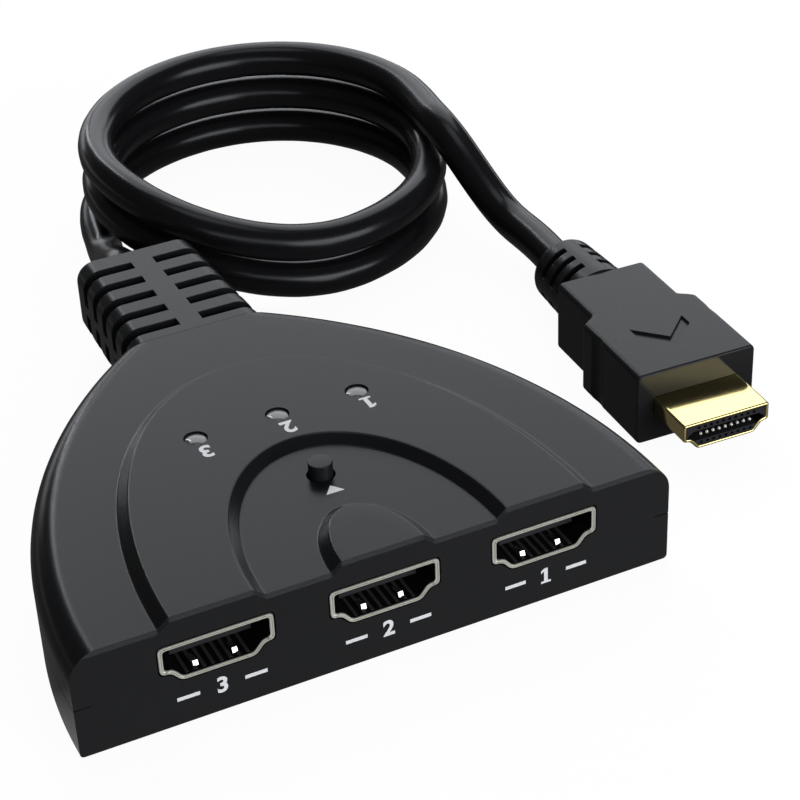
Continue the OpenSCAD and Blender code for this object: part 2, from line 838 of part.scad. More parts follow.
// One gull-wing lead, from a chip's side face down to the board
module chip_lead() {
    translate([0, chip_lead_w / 2, 0]) rotate([90, 0, 0]) linear_extrude(chip_lead_w) polygon([
        [0, chip_lead_z], [0, chip_lead_z + chip_lead_t],
        [chip_lead_out / 2, chip_lead_z + chip_lead_t], [chip_lead_out / 2, chip_lead_t],
        [chip_lead_out, chip_lead_t], [chip_lead_out, 0],
        [chip_lead_out / 2 - chip_lead_t, 0], [chip_lead_out / 2 - chip_lead_t, chip_lead_z]
    ]);
}

module chip_leads() {
    color("silver") from_front() translate([0, 0, board_z]) {
        for (turn = [0 : 90 : 270], i = [0 : chip_leads_a_side - 1])
            translate([0, chip_y, 0]) rotate(turn)
                translate([chip_w / 2, (i - (chip_leads_a_side - 1) / 2) * chip_lead_pitch, 0]) chip_lead();
        for (turn = [0, 180], i = [0 : control_leads - 1])
            translate([control_x, control_y, 0]) rotate(turn)
                translate([control_w / 2, (i - (control_leads - 1) / 2) * control_lead_pitch, 0]) chip_lead();
    }
}

// Chip part of the board, lying along X
module chip_part(x, y, thick) {
    translate([x - chip_part_len / 2, y - chip_part_w / 2, board_z])
        cube([chip_part_len, chip_part_w, thick]);
}

module capacitors() {
    color("tan") from_front() {
        for (side = [-1, 1], i = [0 : capacitors_a_side - 1])
            chip_part(
                side * (chip_w / 2 + capacitor_gap),
                chip_y + (i - (capacitors_a_side - 1) / 2) * capacitor_pitch,
                capacitor_t
            );
        for (x = port_xs) chip_part(x + port_part_pitch, shell_len + port_part_gap, capacitor_t);
    }
}

module resistors() {
    color("#2a2a2e") from_front() {
        for (x = led_xs) chip_part(x, led_y - led_resistor_gap, resistor_t);
        for (x = port_xs, i = [-1, 0])
            chip_part(x + i * port_part_pitch, shell_len + port_part_gap, resistor_t);
    }
}

// Rectangle with rounded corners in X and Z, at a distance behind the port face
function rounded_ring(w, low, high, r, y) = [
    for (corner = [0 : 3], i = [0 : round_steps])
        let (
            a = corner * 90 + 90 * i / round_steps,
            x = (w / 2 - r) * (corner == 0 || corner == 3 ? 1 : -1),
            z = corner < 2 ? high - r : low + r
        )
        [x + r * cos(a), y, z + r * sin(a)]
];

// Tapered body of the boot, pulled in by d all round
module boot_form(d) {
    function boot_ring(y, pull) =
        let (w = boot_w + (boot_tip_w - boot_w) * (y - boot_y) / boot_len)
        rounded_ring(w - 2 * pull, boot_z + pull, case_h - pull, boot_round, y);
    loft([
        boot_ring(boot_end, d + boot_edge),
        boot_ring(boot_end - boot_edge, d),
        boot_ring(boot_y, d)
    ]);
}

module cable_boot() {
    color("#2c2c30") from_front() {
        difference() {
            boot_form(0);
            difference() {
                for (i = [0 : slot_count - 1])
                    translate([-boot_w, boot_end - slot_first - slot_w - i * slot_pitch, 0])
                        cube([2 * boot_w, slot_w, 2 * case_h]);
                boot_form(slot_depth);
                translate([-slot_web / 2, boot_y, -1]) cube([slot_web, boot_len + 1, 2 * case_h]);
                translate([-boot_w, boot_y, boot_mid - slot_side_web / 2])
                    cube([2 * boot_w, boot_len + 1, slot_side_web]);
            }
        }
        translate([-neck_w / 2, cavity_end - neck_play - eps, boot_mid - neck_h / 2])
            cube([neck_w, boot_y - cavity_end + neck_play + 2 * eps, neck_h]);
        translate([-flange_w / 2, cavity_end - neck_play - flange_t, boot_mid - flange_h / 2])
            cube([flange_w, flange_t, flange_h]);
    }
}

// Insulated wires that leave the boot's flange, turn down and end on the board
module cable_wires() {
    start = cavity_end - neck_play - flange_t;
    color("firebrick") from_front() for (i = [0 : wire_count - 1])
        translate([(i - (wire_count - 1) / 2) * wire_pitch, wire_land_y, 0]) {
            translate([0, 0, boot_mid]) rotate([-90, 0, 0])
                cylinder(r = wire_r, h = start - wire_land_y, $fn = 24);
            translate([0, 0, boot_mid]) sphere(r = wire_r, $fn = 24);
            translate([0, 0, board_z]) cylinder(r = wire_r, h = boot_mid - board_z, $fn = 24);
        }
}

module cable_exit() {
    color("#26262a") from_front() cable_tube(exit_route);
}

module cable_coil() {
    color("#26262a") from_front() cable_tube(coil_points);
}

module cable_lead() {
    color("#26262a") from_front() cable_tube(lead_route);
}

// The plug's pieces are drawn with its front face on Y = 0 and then laid in place
module at_plug() {
    from_front() translate([plug_x, plug_y, plug_mid]) rotate(plug_turn) children();
}

module at_nose() {
    at_plug() translate([0, 0, -nose_drop]) children();
}

// Tapered round strain relief, slit in rings between four webs
module plug_relief() {
    tip = relief_tip_d / 2;
    color("#2c2c30") at_plug() translate([0, plug_len, relief_mid - plug_mid]) rotate([-90, 0, 0]) difference() {
        rotate_extrude($fn = round_faces) polygon([
            [0, 0], [relief_d / 2, 0], [tip, relief_len - relief_round],
            [tip - 0.3 * relief_round, relief_len - 0.3 * relief_round],
            [tip - relief_round, relief_len], [0, relief_len]
        ]);
        difference() {
            for (i = [0 : relief_slots - 1])
                translate([
                    -relief_d, -relief_d,
                    relief_len - relief_slot_first - relief_slot_w - i * relief_slot_pitch
                ])
                    cube([2 * relief_d, 2 * relief_d, relief_slot_w]);
            translate([0, 0, -1])
                cylinder(r = tip - relief_slot_depth, h = relief_len + 2, $fn = round_faces);
            for (turn = [0, 90])
                rotate(turn) translate([-relief_web / 2, -relief_d, -1])
                    cube([relief_web, 2 * relief_d, relief_len + 2]);
        }
    }
}

// Moulded grip that narrows in an S towards the cable
module plug_grip() {
    function grip_ring(y) =
        let (
            ends = y <= 0 || y >= plug_len ? plug_edge : 0,
            narrow = smooth_step((y - plug_step_y) / plug_step_run)
        )
        rounded_ring(
            plug_w + (plug_neck_w - plug_w) * narrow - 2 * ends,
            ends - plug_mid, plug_mid - ends, plug_round, y
        );
    stations = concat(
        [plug_len, plug_len - plug_edge],
        [for (i = [6 : -1 : 0]) plug_step_y + plug_step_run * i / 6],
        [plug_edge, 0]
    );
    color("#2c2c30") at_plug() difference() {
        loft([for (y = stations) grip_ring(y)]);
        translate([0, 0, -nose_drop]) along_y(-1, plug_seat) polygon(port_profile(0));
        for (side = [-1, 1])
            translate([side * (plug_w / 2 + scoop_r - scoop_depth), scoop_y, 0])
                cylinder(r = scoop_r, h = 2 * plug_h, center = true, $fn = round_faces);
    }
}

module plug_shell() {
    color("goldenrod") at_nose() along_y(-plug_nose, plug_seat) difference() {
        polygon(port_profile(-plug_play));
        polygon(port_profile(-plug_play - shell_t));
    }
}

// Place of a plug pin's channel: one row over the slot for the port's tongue and one under it
pin_rows = [[contacts_top, 1], [contacts_low, -1]];

module plug_insulator() {
    front = plug_recess - plug_nose;
    color("#141416") at_nose() difference() {
        along_y(front, plug_seat) polygon(port_profile(-2 * plug_play - shell_t));
        translate([-pin_slot_w / 2, front - 1, -pin_slot_h / 2])
            cube([pin_slot_w, 1 - front - pin_slot_end, pin_slot_h]);
        for (row = pin_rows, i = [0 : row[0] - 1])
            translate([
                contact_x(i, row[0]) - pin_channel_w / 2, front - 1,
                row[1] > 0 ? pin_slot_h / 2 - eps : -pin_slot_h / 2 - pin_channel_h
            ])
                cube([pin_channel_w, 1 - front - pin_slot_end, pin_channel_h + eps]);
    }
}

module plug_pins() {
    start = plug_recess - plug_nose + pin_set_back;
    color("gold") at_nose() for (row = pin_rows, i = [0 : row[0] - 1])
        translate([
            contact_x(i, row[0]) - pin_w / 2, start,
            row[1] * (pin_slot_h / 2 + pin_channel_h - pin_t / 2) - pin_t / 2
        ])
            cube([pin_w, -start - pin_slot_end, pin_t]);
}

top_cover();
bottom_cover();
port_plate();
case_screws();
circuit_board();
hdmi_shell(1);  // hdmi_shell_1
hdmi_shell(2);  // hdmi_shell_2
hdmi_shell(3);  // hdmi_shell_3
hdmi_core(1);  // hdmi_core_1
hdmi_core(2);  // hdmi_core_2
hdmi_core(3);  // hdmi_core_3
hdmi_contacts(1);  // hdmi_contacts_1
hdmi_contacts(2);  // hdmi_contacts_2
hdmi_contacts(3);  // hdmi_contacts_3
led(1);  // led_1
led(2);  // led_2
led(3);  // led_3
led_pins();
select_button();
tact_base();
tact_cover();
tact_dome();
tact_legs();
switch_chip();
control_chip();
chip_leads();
capacitors();
resistors();
cable_boot();
cable_wires();
cable_exit();
cable_coil();
cable_lead();
plug_relief();
plug_grip();
plug_shell();
plug_insulator();
plug_pins();
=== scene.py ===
import math

import bmesh
import bpy
from mathutils import Matrix, Vector


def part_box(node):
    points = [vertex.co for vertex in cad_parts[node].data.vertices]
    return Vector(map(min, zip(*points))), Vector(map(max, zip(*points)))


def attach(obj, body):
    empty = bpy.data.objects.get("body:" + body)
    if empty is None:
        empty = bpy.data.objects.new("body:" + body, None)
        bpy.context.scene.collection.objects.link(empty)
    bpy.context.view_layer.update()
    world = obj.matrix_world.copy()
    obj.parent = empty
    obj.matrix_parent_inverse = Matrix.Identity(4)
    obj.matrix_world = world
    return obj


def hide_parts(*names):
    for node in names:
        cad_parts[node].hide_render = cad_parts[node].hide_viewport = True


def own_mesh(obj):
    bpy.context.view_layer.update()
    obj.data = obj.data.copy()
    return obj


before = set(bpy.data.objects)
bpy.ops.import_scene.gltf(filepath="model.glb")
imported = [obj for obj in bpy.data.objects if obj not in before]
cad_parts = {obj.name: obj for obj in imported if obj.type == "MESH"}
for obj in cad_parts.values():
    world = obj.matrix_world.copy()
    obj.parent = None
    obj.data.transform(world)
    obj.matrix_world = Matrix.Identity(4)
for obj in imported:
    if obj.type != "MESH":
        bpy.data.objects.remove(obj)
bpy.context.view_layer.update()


# Camera. It stands before the ports, a little to their left and well above the table.
# Its place, tilt and lens were solved from the port openings, which have a standard size.
mm = 0.001
face_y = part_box("port_plate")[0].y


def at(x, y, z):
    """A point in millimetres, counted from the middle of the port face's lower edge."""
    return Vector((x * mm, face_y + y * mm, z * mm))


azimuth, elevation, roll = math.radians(-24.675), math.radians(33.16), math.radians(-2.591)
aim, distance, aside, above, lens = at(0, 30, 8), 298.72, 14.917, 11.265, 98.76
back = Vector((
    math.sin(azimuth) * math.cos(elevation), -math.cos(azimuth) * math.cos(elevation), math.sin(elevation)
))
level = Vector((math.cos(azimuth), math.sin(azimuth), 0))
rising = back.cross(level)
cam_right = level * math.cos(roll) + rising * math.sin(roll)
cam_up = rising * math.cos(roll) - level * math.sin(roll)
camera = bpy.data.objects.new("camera", bpy.data.cameras.new("camera"))
bpy.context.scene.collection.objects.link(camera)
camera.matrix_world = Matrix((cam_right, cam_up, back)).transposed().to_4x4()
camera.location = aim + back * distance * mm + cam_right * aside * mm + cam_up * above * mm
camera.data.sensor_width = 36
camera.data.lens = lens
camera.data.clip_start, camera.data.clip_end = 0.01, 20
bpy.context.scene.camera = camera
bpy.context.scene.view_settings.view_transform = "Standard"


# Table and light. A pale sweep that the camera sees as white, with a faint shadow. Glossy things see it
# bright before the ports and far behind, dim close by. A wide softbox, a backdrop and a narrow strip
# that draws the edges stand behind, two cards stand in front, and a softbox hangs overhead.
def nodes_of(material):
    """The node list and the links of a material's own node tree."""
    material.use_nodes = True
    return material.node_tree.nodes, material.node_tree.links


paper = bpy.data.materials.new("paper_sweep")
nodes, links = nodes_of(paper)
nodes.clear()


def graded(value, low, high, at_low, at_high):
    """A value carried evenly from one span to another, and held at its ends."""
    node = nodes.new("ShaderNodeMapRange")
    node.inputs["From Min"].default_value, node.inputs["From Max"].default_value = low, high
    node.inputs["To Min"].default_value, node.inputs["To Max"].default_value = at_low, at_high
    links.new(value, node.inputs["Value"])
    return node.outputs["Result"]


def greater(one, other):
    """The greater of two values."""
    node = nodes.new("ShaderNodeMath")
    node.operation = "MAXIMUM"
    links.new(one, node.inputs[0])
    links.new(other, node.inputs[1])
    return node.outputs[0]


ray = nodes.new("ShaderNodeLightPath")
where, parts = nodes.new("ShaderNodeTexCoord"), nodes.new("ShaderNodeSeparateXYZ")
links.new(where.outputs["Object"], parts.inputs["Vector"])
front_glow, near_glow, far_glow, camera_glow, glow_share = 0.5, 0.08, 0.6, 1.12, 0.85
front_fade, far_from, far_to = 14 * mm, 0.14, 0.3
before_ports = graded(parts.outputs["Y"], face_y, face_y + front_fade, front_glow, near_glow)
far_behind = graded(parts.outputs["Y"], far_from, far_to, near_glow, far_glow)
for_camera = graded(ray.outputs["Is Camera Ray"], 0, 1, 0, camera_glow)
matt = nodes.new("ShaderNodeBsdfDiffuse")
matt.inputs["Color"].default_value = (0.5, 0.5, 0.5, 1)
glow = nodes.new("ShaderNodeEmission")
glow.inputs["Color"].default_value = (1, 1, 1, 1)
links.new(greater(greater(before_ports, far_behind), for_camera), glow.inputs["Strength"])
blend = nodes.new("ShaderNodeMixShader")
seen_by_camera = graded(ray.outputs["Is Camera Ray"], 0, 1, 0, glow_share)
links.new(greater(seen_by_camera, ray.outputs["Is Glossy Ray"]), blend.inputs["Fac"])
links.new(matt.outputs[0], blend.inputs[1])
links.new(glow.outputs[0], blend.inputs[2])
links.new(blend.outputs[0], nodes.new("ShaderNodeOutputMaterial").inputs["Surface"])

bm = bmesh.new()
bmesh.ops.create_grid(bm, x_segments=1, y_segments=1, size=4)
bmesh.ops.translate(bm, verts=bm.verts, vec=(0, 0, -0.1 * mm))
floor_mesh = bpy.data.meshes.new("table")
bm.to_mesh(floor_mesh)
bm.free()
floor = bpy.data.objects.new("table", floor_mesh)
floor_mesh.materials.append(paper)
bpy.context.scene.collection.objects.link(floor)

world = bpy.data.worlds.new("room")
bpy.context.scene.world = world
world.use_nodes = True
room = world.node_tree.nodes["Background"]
room.inputs["Color"].default_value = (1, 1, 1, 1)
room.inputs["Strength"].default_value = 0.06


def softbox(name, place, target, width, height, watts):
    """A soft rectangular lamp that faces its target."""
    lamp = bpy.data.lights.new(name, "AREA")
    lamp.shape = "RECTANGLE"
    lamp.size, lamp.size_y, lamp.energy = width, height, watts
    lamp.color = (0.95, 0.98, 1.03)
    box = bpy.data.objects.new(name, lamp)
    box.location = place
    box.rotation_euler = (Vector(target) - Vector(place)).to_track_quat("-Z", "Y").to_euler()
    bpy.context.scene.collection.objects.link(box)


softbox("softbox_behind", (0.36, 0.72, 0.64), (0.01, 0.02, 0), 0.85, 0.9, 5)
softbox("backdrop", (0.42, 1.0, 0.1), (0.01, 0.02, 0.04), 1.7, 0.2, 1.6)
softbox("card_in_front", (0.36, -0.8, 0.2), (0.01, 0, 0), 0.8, 0.5, 4.6)
softbox("card_above_front", (-0.05, -0.85, 0.42), (0.01, 0.03, 0), 2, 0.34, 3.2)
softbox("edge_strip", (-0.02, 0.85, 0.48), (0, 0.03, 0.01), 0.05, 0.6, 0.8)
softbox("softbox_overhead", (0.02, 0.12, 1), (0.02, 0.03, 0), 0.5, 0.34, 0.8)


# Cable. Round jacket of soft black vinyl, drawn as one line out of the boot, down to the table,
# round its two and a half turns and over them to the plug. The route repeats the solid's points.
def grain_group():
    """Fine moulded grain: a height for the bump, and a broad tone that changes slowly."""
    group = bpy.data.node_groups.new("moulded_grain", "ShaderNodeTree")
    for name, default in (("Fine Scale", 3000.0), ("Broad Scale", 60.0)):
        socket = group.interface.new_socket(name, in_out="INPUT", socket_type="NodeSocketFloat")
        socket.default_value = default
    group.interface.new_socket("Height", in_out="OUTPUT", socket_type="NodeSocketFloat")
    group.interface.new_socket("Tone", in_out="OUTPUT", socket_type="NodeSocketFloat")
    inside, wires = group.nodes, group.links
    start, end = inside.new("NodeGroupInput"), inside.new("NodeGroupOutput")
    where = inside.new("ShaderNodeTexCoord")
    fine, broad = inside.new("ShaderNodeTexNoise"), inside.new("ShaderNodeTexNoise")
    fine.inputs["Detail"].default_value, broad.inputs["Detail"].default_value = 2, 4
    for noise, size in ((fine, "Fine Scale"), (broad, "Broad Scale")):
        wires.new(where.outputs["Object"], noise.inputs["Vector"])
        wires.new(start.outputs[size], noise.inputs["Scale"])
    wires.new(fine.outputs["Fac"], end.inputs["Height"])
    wires.new(broad.outputs["Fac"], end.inputs["Tone"])
    return group


moulded_grain = grain_group()


def grained(name, dark, pale, smooth, rough, fine, broad, bump, metallic=0.0, specular=0.5):
    """A finish whose colour and gloss drift with the broad tone, over a bump of fine grain."""
    material = bpy.data.materials.new(name)
    nodes, links = nodes_of(material)
    shader = nodes["Principled BSDF"]
    shader.inputs["Metallic"].default_value = metallic
    shader.inputs["Specular IOR Level"].default_value = specular
    grain = nodes.new("ShaderNodeGroup")
    grain.node_tree = moulded_grain
    grain.inputs["Fine Scale"].default_value = fine
    grain.inputs["Broad Scale"].default_value = broad
    tint = nodes.new("ShaderNodeMix")
    tint.data_type = "RGBA"
    tint.inputs["A"].default_value, tint.inputs["B"].default_value = (*dark, 1), (*pale, 1)
    links.new(grain.outputs["Tone"], tint.inputs["Factor"])
    links.new(tint.outputs["Result"], shader.inputs["Base Color"])
    gloss = nodes.new("ShaderNodeMapRange")
    gloss.inputs["From Min"].default_value, gloss.inputs["From Max"].default_value = 0.3, 0.7
    gloss.inputs["To Min"].default_value, gloss.inputs["To Max"].default_value = smooth, rough
    links.new(grain.outputs["Tone"], gloss.inputs["Value"])
    links.new(gloss.outputs["Result"], shader.inputs["Roughness"])
    relief = nodes.new("ShaderNodeBump")
    relief.inputs["Distance"].default_value = 0.04 * mm
    relief.inputs["Strength"].default_value = bump
    links.new(grain.outputs["Height"], relief.inputs["Height"])
    links.new(relief.outputs["Normal"], shader.inputs["Normal"])
    return material


cable_vinyl = grained(
    "cable_vinyl", (0.006, 0.006, 0.0065), (0.009, 0.009, 0.01), 0.2, 0.26, 1500, 40, 0.08, specular=0.25
)
cable_d, coil_x, coil_y, coil_r, coil_pitch, coil_stretch, coil_skew = 6, 33, 115.8, 28.2, 6.6, 1.038, 0.034
coil_from, coil_to, coil_steps, climb_from, climb_span, first_wider = 12, 906, 74, 262, 96, 1.4
boot_end, boot_mid, straight = 89.6, 9.3, 2
plug_x, plug_y, plug_mid, plug_turn = 61.4, 24.4, 5.8, math.radians(-2)
plug_len, relief_len, relief_mid = 28.8, 12.4, 6.2


def ease(u):
    """Goes from 0 to 1 with a soft start and a soft end."""
    return 0 if u <= 0 else 1 if u >= 1 else (1 - math.cos(math.pi * u)) / 2


def coil_point(degrees):
    """A point on the coil's middle line, counted in degrees from its start; it climbs late in each turn."""
    turn = degrees // 360
    a, r = math.radians(degrees), coil_r + first_wider * (1 - ease(degrees / 90))
    height = cable_d / 2 + coil_pitch * (turn + ease((degrees - 360 * turn - climb_from) / climb_span))
    across, along = math.cos(a), coil_stretch * math.sin(a) - coil_skew * math.cos(a)
    return at(coil_x - r * across, coil_y + r * along, height)


def coil_heading(degrees):
    """The way that the coil runs at a point, level, one millimetre long."""
    a = math.radians(degrees)
    along = coil_stretch * math.cos(a) + coil_skew * math.sin(a)
    return Vector((math.sin(a), along, 0)).normalized() * mm


def behind_plug(y):
    """A point on the plug's own axis, counted back from the front of its grip."""
    return at(plug_x - math.sin(plug_turn) * y, plug_y + math.cos(plug_turn) * y, relief_mid)


coil_start = coil_point(coil_from) - coil_heading(coil_from) * cable_d
coil_end = coil_point(coil_to) + coil_heading(coil_to) * cable_d
exit_points = [
    (0.05, 94.5, 9.1), (0.18, 97, 8.5), (0.38, 99.5, 7.6), (0.65, 102, 6.5),
    (0.97, 104.5, 5.4), (1.35, 107, 4.4), (1.78, 109.5, 3.6), (2.25, 112, 3.1),
]
lead_points = [
    (60.17, 104.4, 16.16), (60.23, 102, 15.72), (60.42, 99.6, 14.89), (60.69, 97.2, 13.73),
    (61.06, 94.6, 12.23), (61.5, 92, 10.62), (61.95, 89.4, 9.07), (62.39, 86.8, 7.73),
    (62.77, 84.2, 6.78), (63.06, 81.6, 6.3), (63.22, 79, 6.2), (63.28, 76, 6.2),
    (63.21, 73, 6.2), (63.02, 70, 6.2),
]
route = [at(0, boot_end, boot_mid), at(0, boot_end + straight, boot_mid)]
route += [at(*p) for p in exit_points]
route += [coil_start - coil_heading(coil_from) * straight, coil_start]
route += [
    coil_point(coil_from + (coil_to - coil_from) * i / coil_steps) for i in range(coil_steps + 1)
]
route += [coil_end, coil_end + coil_heading(coil_to)]
route += [at(*p) for p in lead_points]
route += [behind_plug(plug_len + relief_len + straight), behind_plug(plug_len + relief_len)]

line = bpy.data.curves.new("cable", "CURVE")
line.dimensions = "3D"
line.resolution_u = 4
line.bevel_depth = cable_d / 2 * mm
line.bevel_resolution = 7
line.use_fill_caps = True
spline = line.splines.new("BEZIER")
spline.bezier_points.add(len(route) - 1)
for knot, point in zip(spline.bezier_points, route):
    knot.co = point
    knot.handle_left_type = knot.handle_right_type = "AUTO"
cable = bpy.data.objects.new("cable", line)
line.materials.append(cable_vinyl)
bpy.context.scene.collection.objects.link(cable)
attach(cable, "box")
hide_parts("cable_exit", "cable_coil", "cable_lead")


# Bottom cover. A shallow tray moulded in black ABS, rounded along its lower edge and spark-eroded
# to a fine matt grain. The top cover sits on its rim, and a hairline shows where they meet.
case_black = grained(
    "case_black", (0.0085, 0.0088, 0.0095), (0.0108, 0.011, 0.0118), 0.19, 0.24, 5500, 22, 0.4, specular=0.17
)
case_w, case_len, case_h, wall, floor_t = 83, 64.8, 15.4, 2.2, 1.8
seam_z, seam_gap, seam_depth = 7.5, 0.15, 0.4
arc_y, arc_in, base_round = 2, case_w / 2 - 11, 0.6
arc_r = (arc_in ** 2 + (case_len - arc_y) ** 2) / (2 * arc_in)
arc_x = arc_r - case_w / 2
boot_y, boot_w, boot_z = 62.8, 21.4, 3.2
neck_w, neck_h, plate_t = 14, 6.4, 2
cavity_end = boot_y - 2
screw_in, screw_ys, head_r, head_depth, shank_r = 3.4, (16, 51), 2.0, 1.6, 1.15


def half_width(y, inset):
    """Half the width of the case at a distance behind the port face, pulled in."""
    if y <= arc_y:
        return case_w / 2 - inset
    return math.sqrt((arc_r - inset) ** 2 - (y - arc_y) ** 2) - arc_x


def plan(inset, front, end, steps=48):
    """Outline of the case in plan, pulled in, from its right front corner round the back."""
    last = math.asin((end - arc_y) / (arc_r - inset))
    side = [(case_w / 2 - inset, front)]
    for i in range(steps + 1):
        a = last * i / steps
        side.append(((arc_r - inset) * math.cos(a) - arc_x, arc_y + (arc_r - inset) * math.sin(a)))
    return side + [(-x, y) for x, y in reversed(side)]


def quarter(steps):
    """Sines and cosines along a quarter turn, in even steps."""
    turns = [math.radians(90 * i / steps) for i in range(steps + 1)]
    return [(math.sin(a), math.cos(a)) for a in turns]


def extruded(bm, row, edges):
    """Extrudes the edges of a row, and gives the new vertices in the row's own order."""
    made = bmesh.ops.extrude_edge_only(bm, edges=edges)["geom"]
    place_of = {v: i for i, v in enumerate(row)}
    following = [None] * len(row)
    for v in (g for g in made if isinstance(g, bmesh.types.BMVert)):
        for e in v.link_edges:
            if e.other_vert(v) in place_of:
                following[place_of[e.other_vert(v)]] = v
    return following


def skin(bm, rings, closed=True):
    """Draws the first ring and carries it through the others by extruding its edges."""
    row = [bm.verts.new(p) for p in rings[0]]
    pairs = list(zip(range(len(row)), list(range(1, len(row))) + [0]))
    if not closed:
        pairs.pop()
    edges = [bm.edges.new((row[a], row[b])) for a, b in pairs]
    rows = [row]
    for ring in rings[1:]:
        row = extruded(bm, row, edges)
        for v, p in zip(row, ring):
            v.co = p
        edges = [bm.edges.get((row[a], row[b])) for a, b in pairs]
        rows.append(row)
    return rows


def capped(rings, bm=None):
    """A closed form over rings of points, with a flat face on its first and last ring."""
    bm = bm or bmesh.new()
    rows = skin(bm, rings)
    bm.faces.new(rows[0])
    bm.faces.new(rows[-1])
    return bm


def prism(points, low, high, bm=None):
    """A closed block over a plan in millimetres."""
    return capped([[at(x, y, z) for x, y in points] for z in (low, high)], bm)


def block(x0, x1, y0, y1, z0, z1, bm=None):
    """A closed block between two corners, in millimetres."""
    return prism([(x0, y0), (x1, y0), (x1, y1), (x0, y1)], z0, z1, bm)


def rod(x, y, low, high, r, sides=64):
    """A closed upright cylinder."""
    bm = bmesh.new()
    bmesh.ops.create_cone(
        bm, cap_ends=True, segments=sides, radius1=r * mm, radius2=r * mm,
        depth=(high - low) * mm, matrix=Matrix.Translation(at(x, y, (low + high) / 2)),
    )
    return bm


def as_object(name, bm, material=None):
    """Closes a bmesh into an object at the origin, with its faces turned outwards."""
    bmesh.ops.remove_doubles(bm, verts=bm.verts, dist=1e-7)
    bmesh.ops.recalc_face_normals(bm, faces=bm.faces)
    mesh = bpy.data.meshes.new(name)
    bm.to_mesh(mesh)
    bm.free()
    if material:
        mesh.materials.append(material)
    obj = bpy.data.objects.new(name, mesh)
    bpy.context.scene.collection.objects.link(obj)
    return obj


def take_out(obj, cutters):
    """Cuts each closed block or object out of an object, in turn, and keeps what is left as its mesh."""
    for cutter in cutters:
        tool = cutter if isinstance(cutter, bpy.types.Object) else as_object("cutter", cutter)
        cut = obj.modifiers.new("cut", "BOOLEAN")
        cut.operation, cut.solver, cut.object = "DIFFERENCE", "EXACT", tool
        left = bpy.data.meshes.new_from_object(obj.evaluated_get(bpy.context.evaluated_depsgraph_get()))
        obj.modifiers.clear()
        old, obj.data = obj.data, left
        left.name = obj.name
        bpy.data.meshes.remove(old)
        bpy.data.meshes.remove(tool.data)
    return obj


def shade(obj, angle):
    """Shades an object smooth, and keeps the edges past an angle sharp."""
    obj.data.shade_smooth()
    obj.data.set_sharp_from_angle(angle=math.radians(angle))
    return obj


def soften(obj, radius, segments=2, angle=32, crisp=180):
    """Breaks the sharp edges by a small radius and shades the rest smooth, up to the crisp angle."""
    shade(obj, crisp)
    edge = obj.modifiers.new("edge", "BEVEL")
    edge.limit_method, edge.angle_limit = "ANGLE", math.radians(angle)
    edge.width, edge.segments = radius * mm, segments
    edge.use_clamp_overlap = True
    even = obj.modifiers.new("even", "WEIGHTED_NORMAL")
    even.keep_sharp = True
    return obj


def seat(obj, nodes, body="box"):
    """Puts a piece on its body and hides the solids that it stands for."""
    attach(obj, body)
    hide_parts(*nodes)
    return obj


def boot_space():
    """The gap that the boot fills in the end of the case, and the way of its neck inwards."""
    play = 0.1
    half = boot_w / 2 + play
    return [
        block(-half, half, boot_y, case_len + 5, boot_z - 0.2, case_h + 5),
        block(
            -neck_w / 2 - play, neck_w / 2 + play, cavity_end - 1, boot_y + 1,
            boot_mid - neck_h / 2 - play, boot_mid + neck_h / 2 + play,
        ),
    ]


screws = [(side * (half_width(y, wall) - screw_in), y) for side in (-1, 1) for y in screw_ys]
rings = []
for s, c in quarter(8):
    inset = base_round * (1 - s)
    rings.append([at(x, y, base_round * (1 - c)) for x, y in plan(inset, 0, case_len - inset)])
rings.append([at(x, y, seam_z - seam_gap) for x, y in plan(0, 0, case_len)])
for z in (seam_z - seam_gap, seam_z):
    rings.append([at(x, y, z) for x, y in plan(seam_depth, seam_depth, case_len - seam_depth)])
bottom_cover = as_object("bottom_cover_tray", capped(rings), case_black)
take_out(bottom_cover, [
    prism(plan(wall, -1, cavity_end), floor_t, seam_z + 1),
    block(wall - case_w / 2, case_w / 2 - wall, -1, plate_t, -1, seam_z + 1),
    *boot_space(),
    *[rod(x, y, -1, head_depth, head_r) for x, y in screws],
    *[rod(x, y, 1, 3, shank_r) for x, y in screws],
])
seat(soften(bottom_cover, 0.1), ["bottom_cover"])


# Port plate. A flat insert of the same plastic behind the front edge of both covers,
# flush with them, with three windows that leave a dark line round each port's lip.
port_w, port_h, port_foot, port_step, slant = 14, 4.55, 9.3, 1.55, 1.3


def corner(before, here, after, r, steps):
    """Points round a corner between its two neighbours, in one smooth bend."""
    here = Vector(here)
    first = (Vector(before) - here).normalized() * r + here
    last = (Vector(after) - here).normalized() * r + here
    shares = [k / steps for k in range(steps + 1)]
    return [first * (1 - t) ** 2 + here * 2 * t * (1 - t) + last * t * t for t in shares]


def port_outline(grow, corner_steps=5):
    """The wide top and narrow foot of a port's opening in X and Z, grown all round, corners rounded."""
    half, high = port_w / 2 + grow, port_h / 2 + grow
    step_z = port_step - port_h / 2 - grow
    foot = port_foot / 2 + grow * math.tan(math.atan2(port_step, slant) / 2)
    shoulder, waist, sole, crown = 0.5 + 0.5 * grow, 0.65, 0.45 + 0.4 * grow, 0.5 + 0.6 * grow
    sharp = [
        (-half, step_z, shoulder), (-foot - slant, step_z, waist), (-foot, -high, sole), (foot, -high, sole),
        (foot + slant, step_z, waist), (half, step_z, shoulder), (half, high, crown), (-half, high, crown),
    ]
    points = []
    for i, (x, z, r) in enumerate(sharp):
        following = sharp[(i + 1) % len(sharp)]
        points += corner(sharp[i - 1][:2], (x, z), following[:2], r, corner_steps)
    return points


def port_ring(grow, x, y, z):
    """A port's outline as a ring of points about a middle."""
    return [at(x + p.x, y, z + p.y) for p in port_outline(grow)]


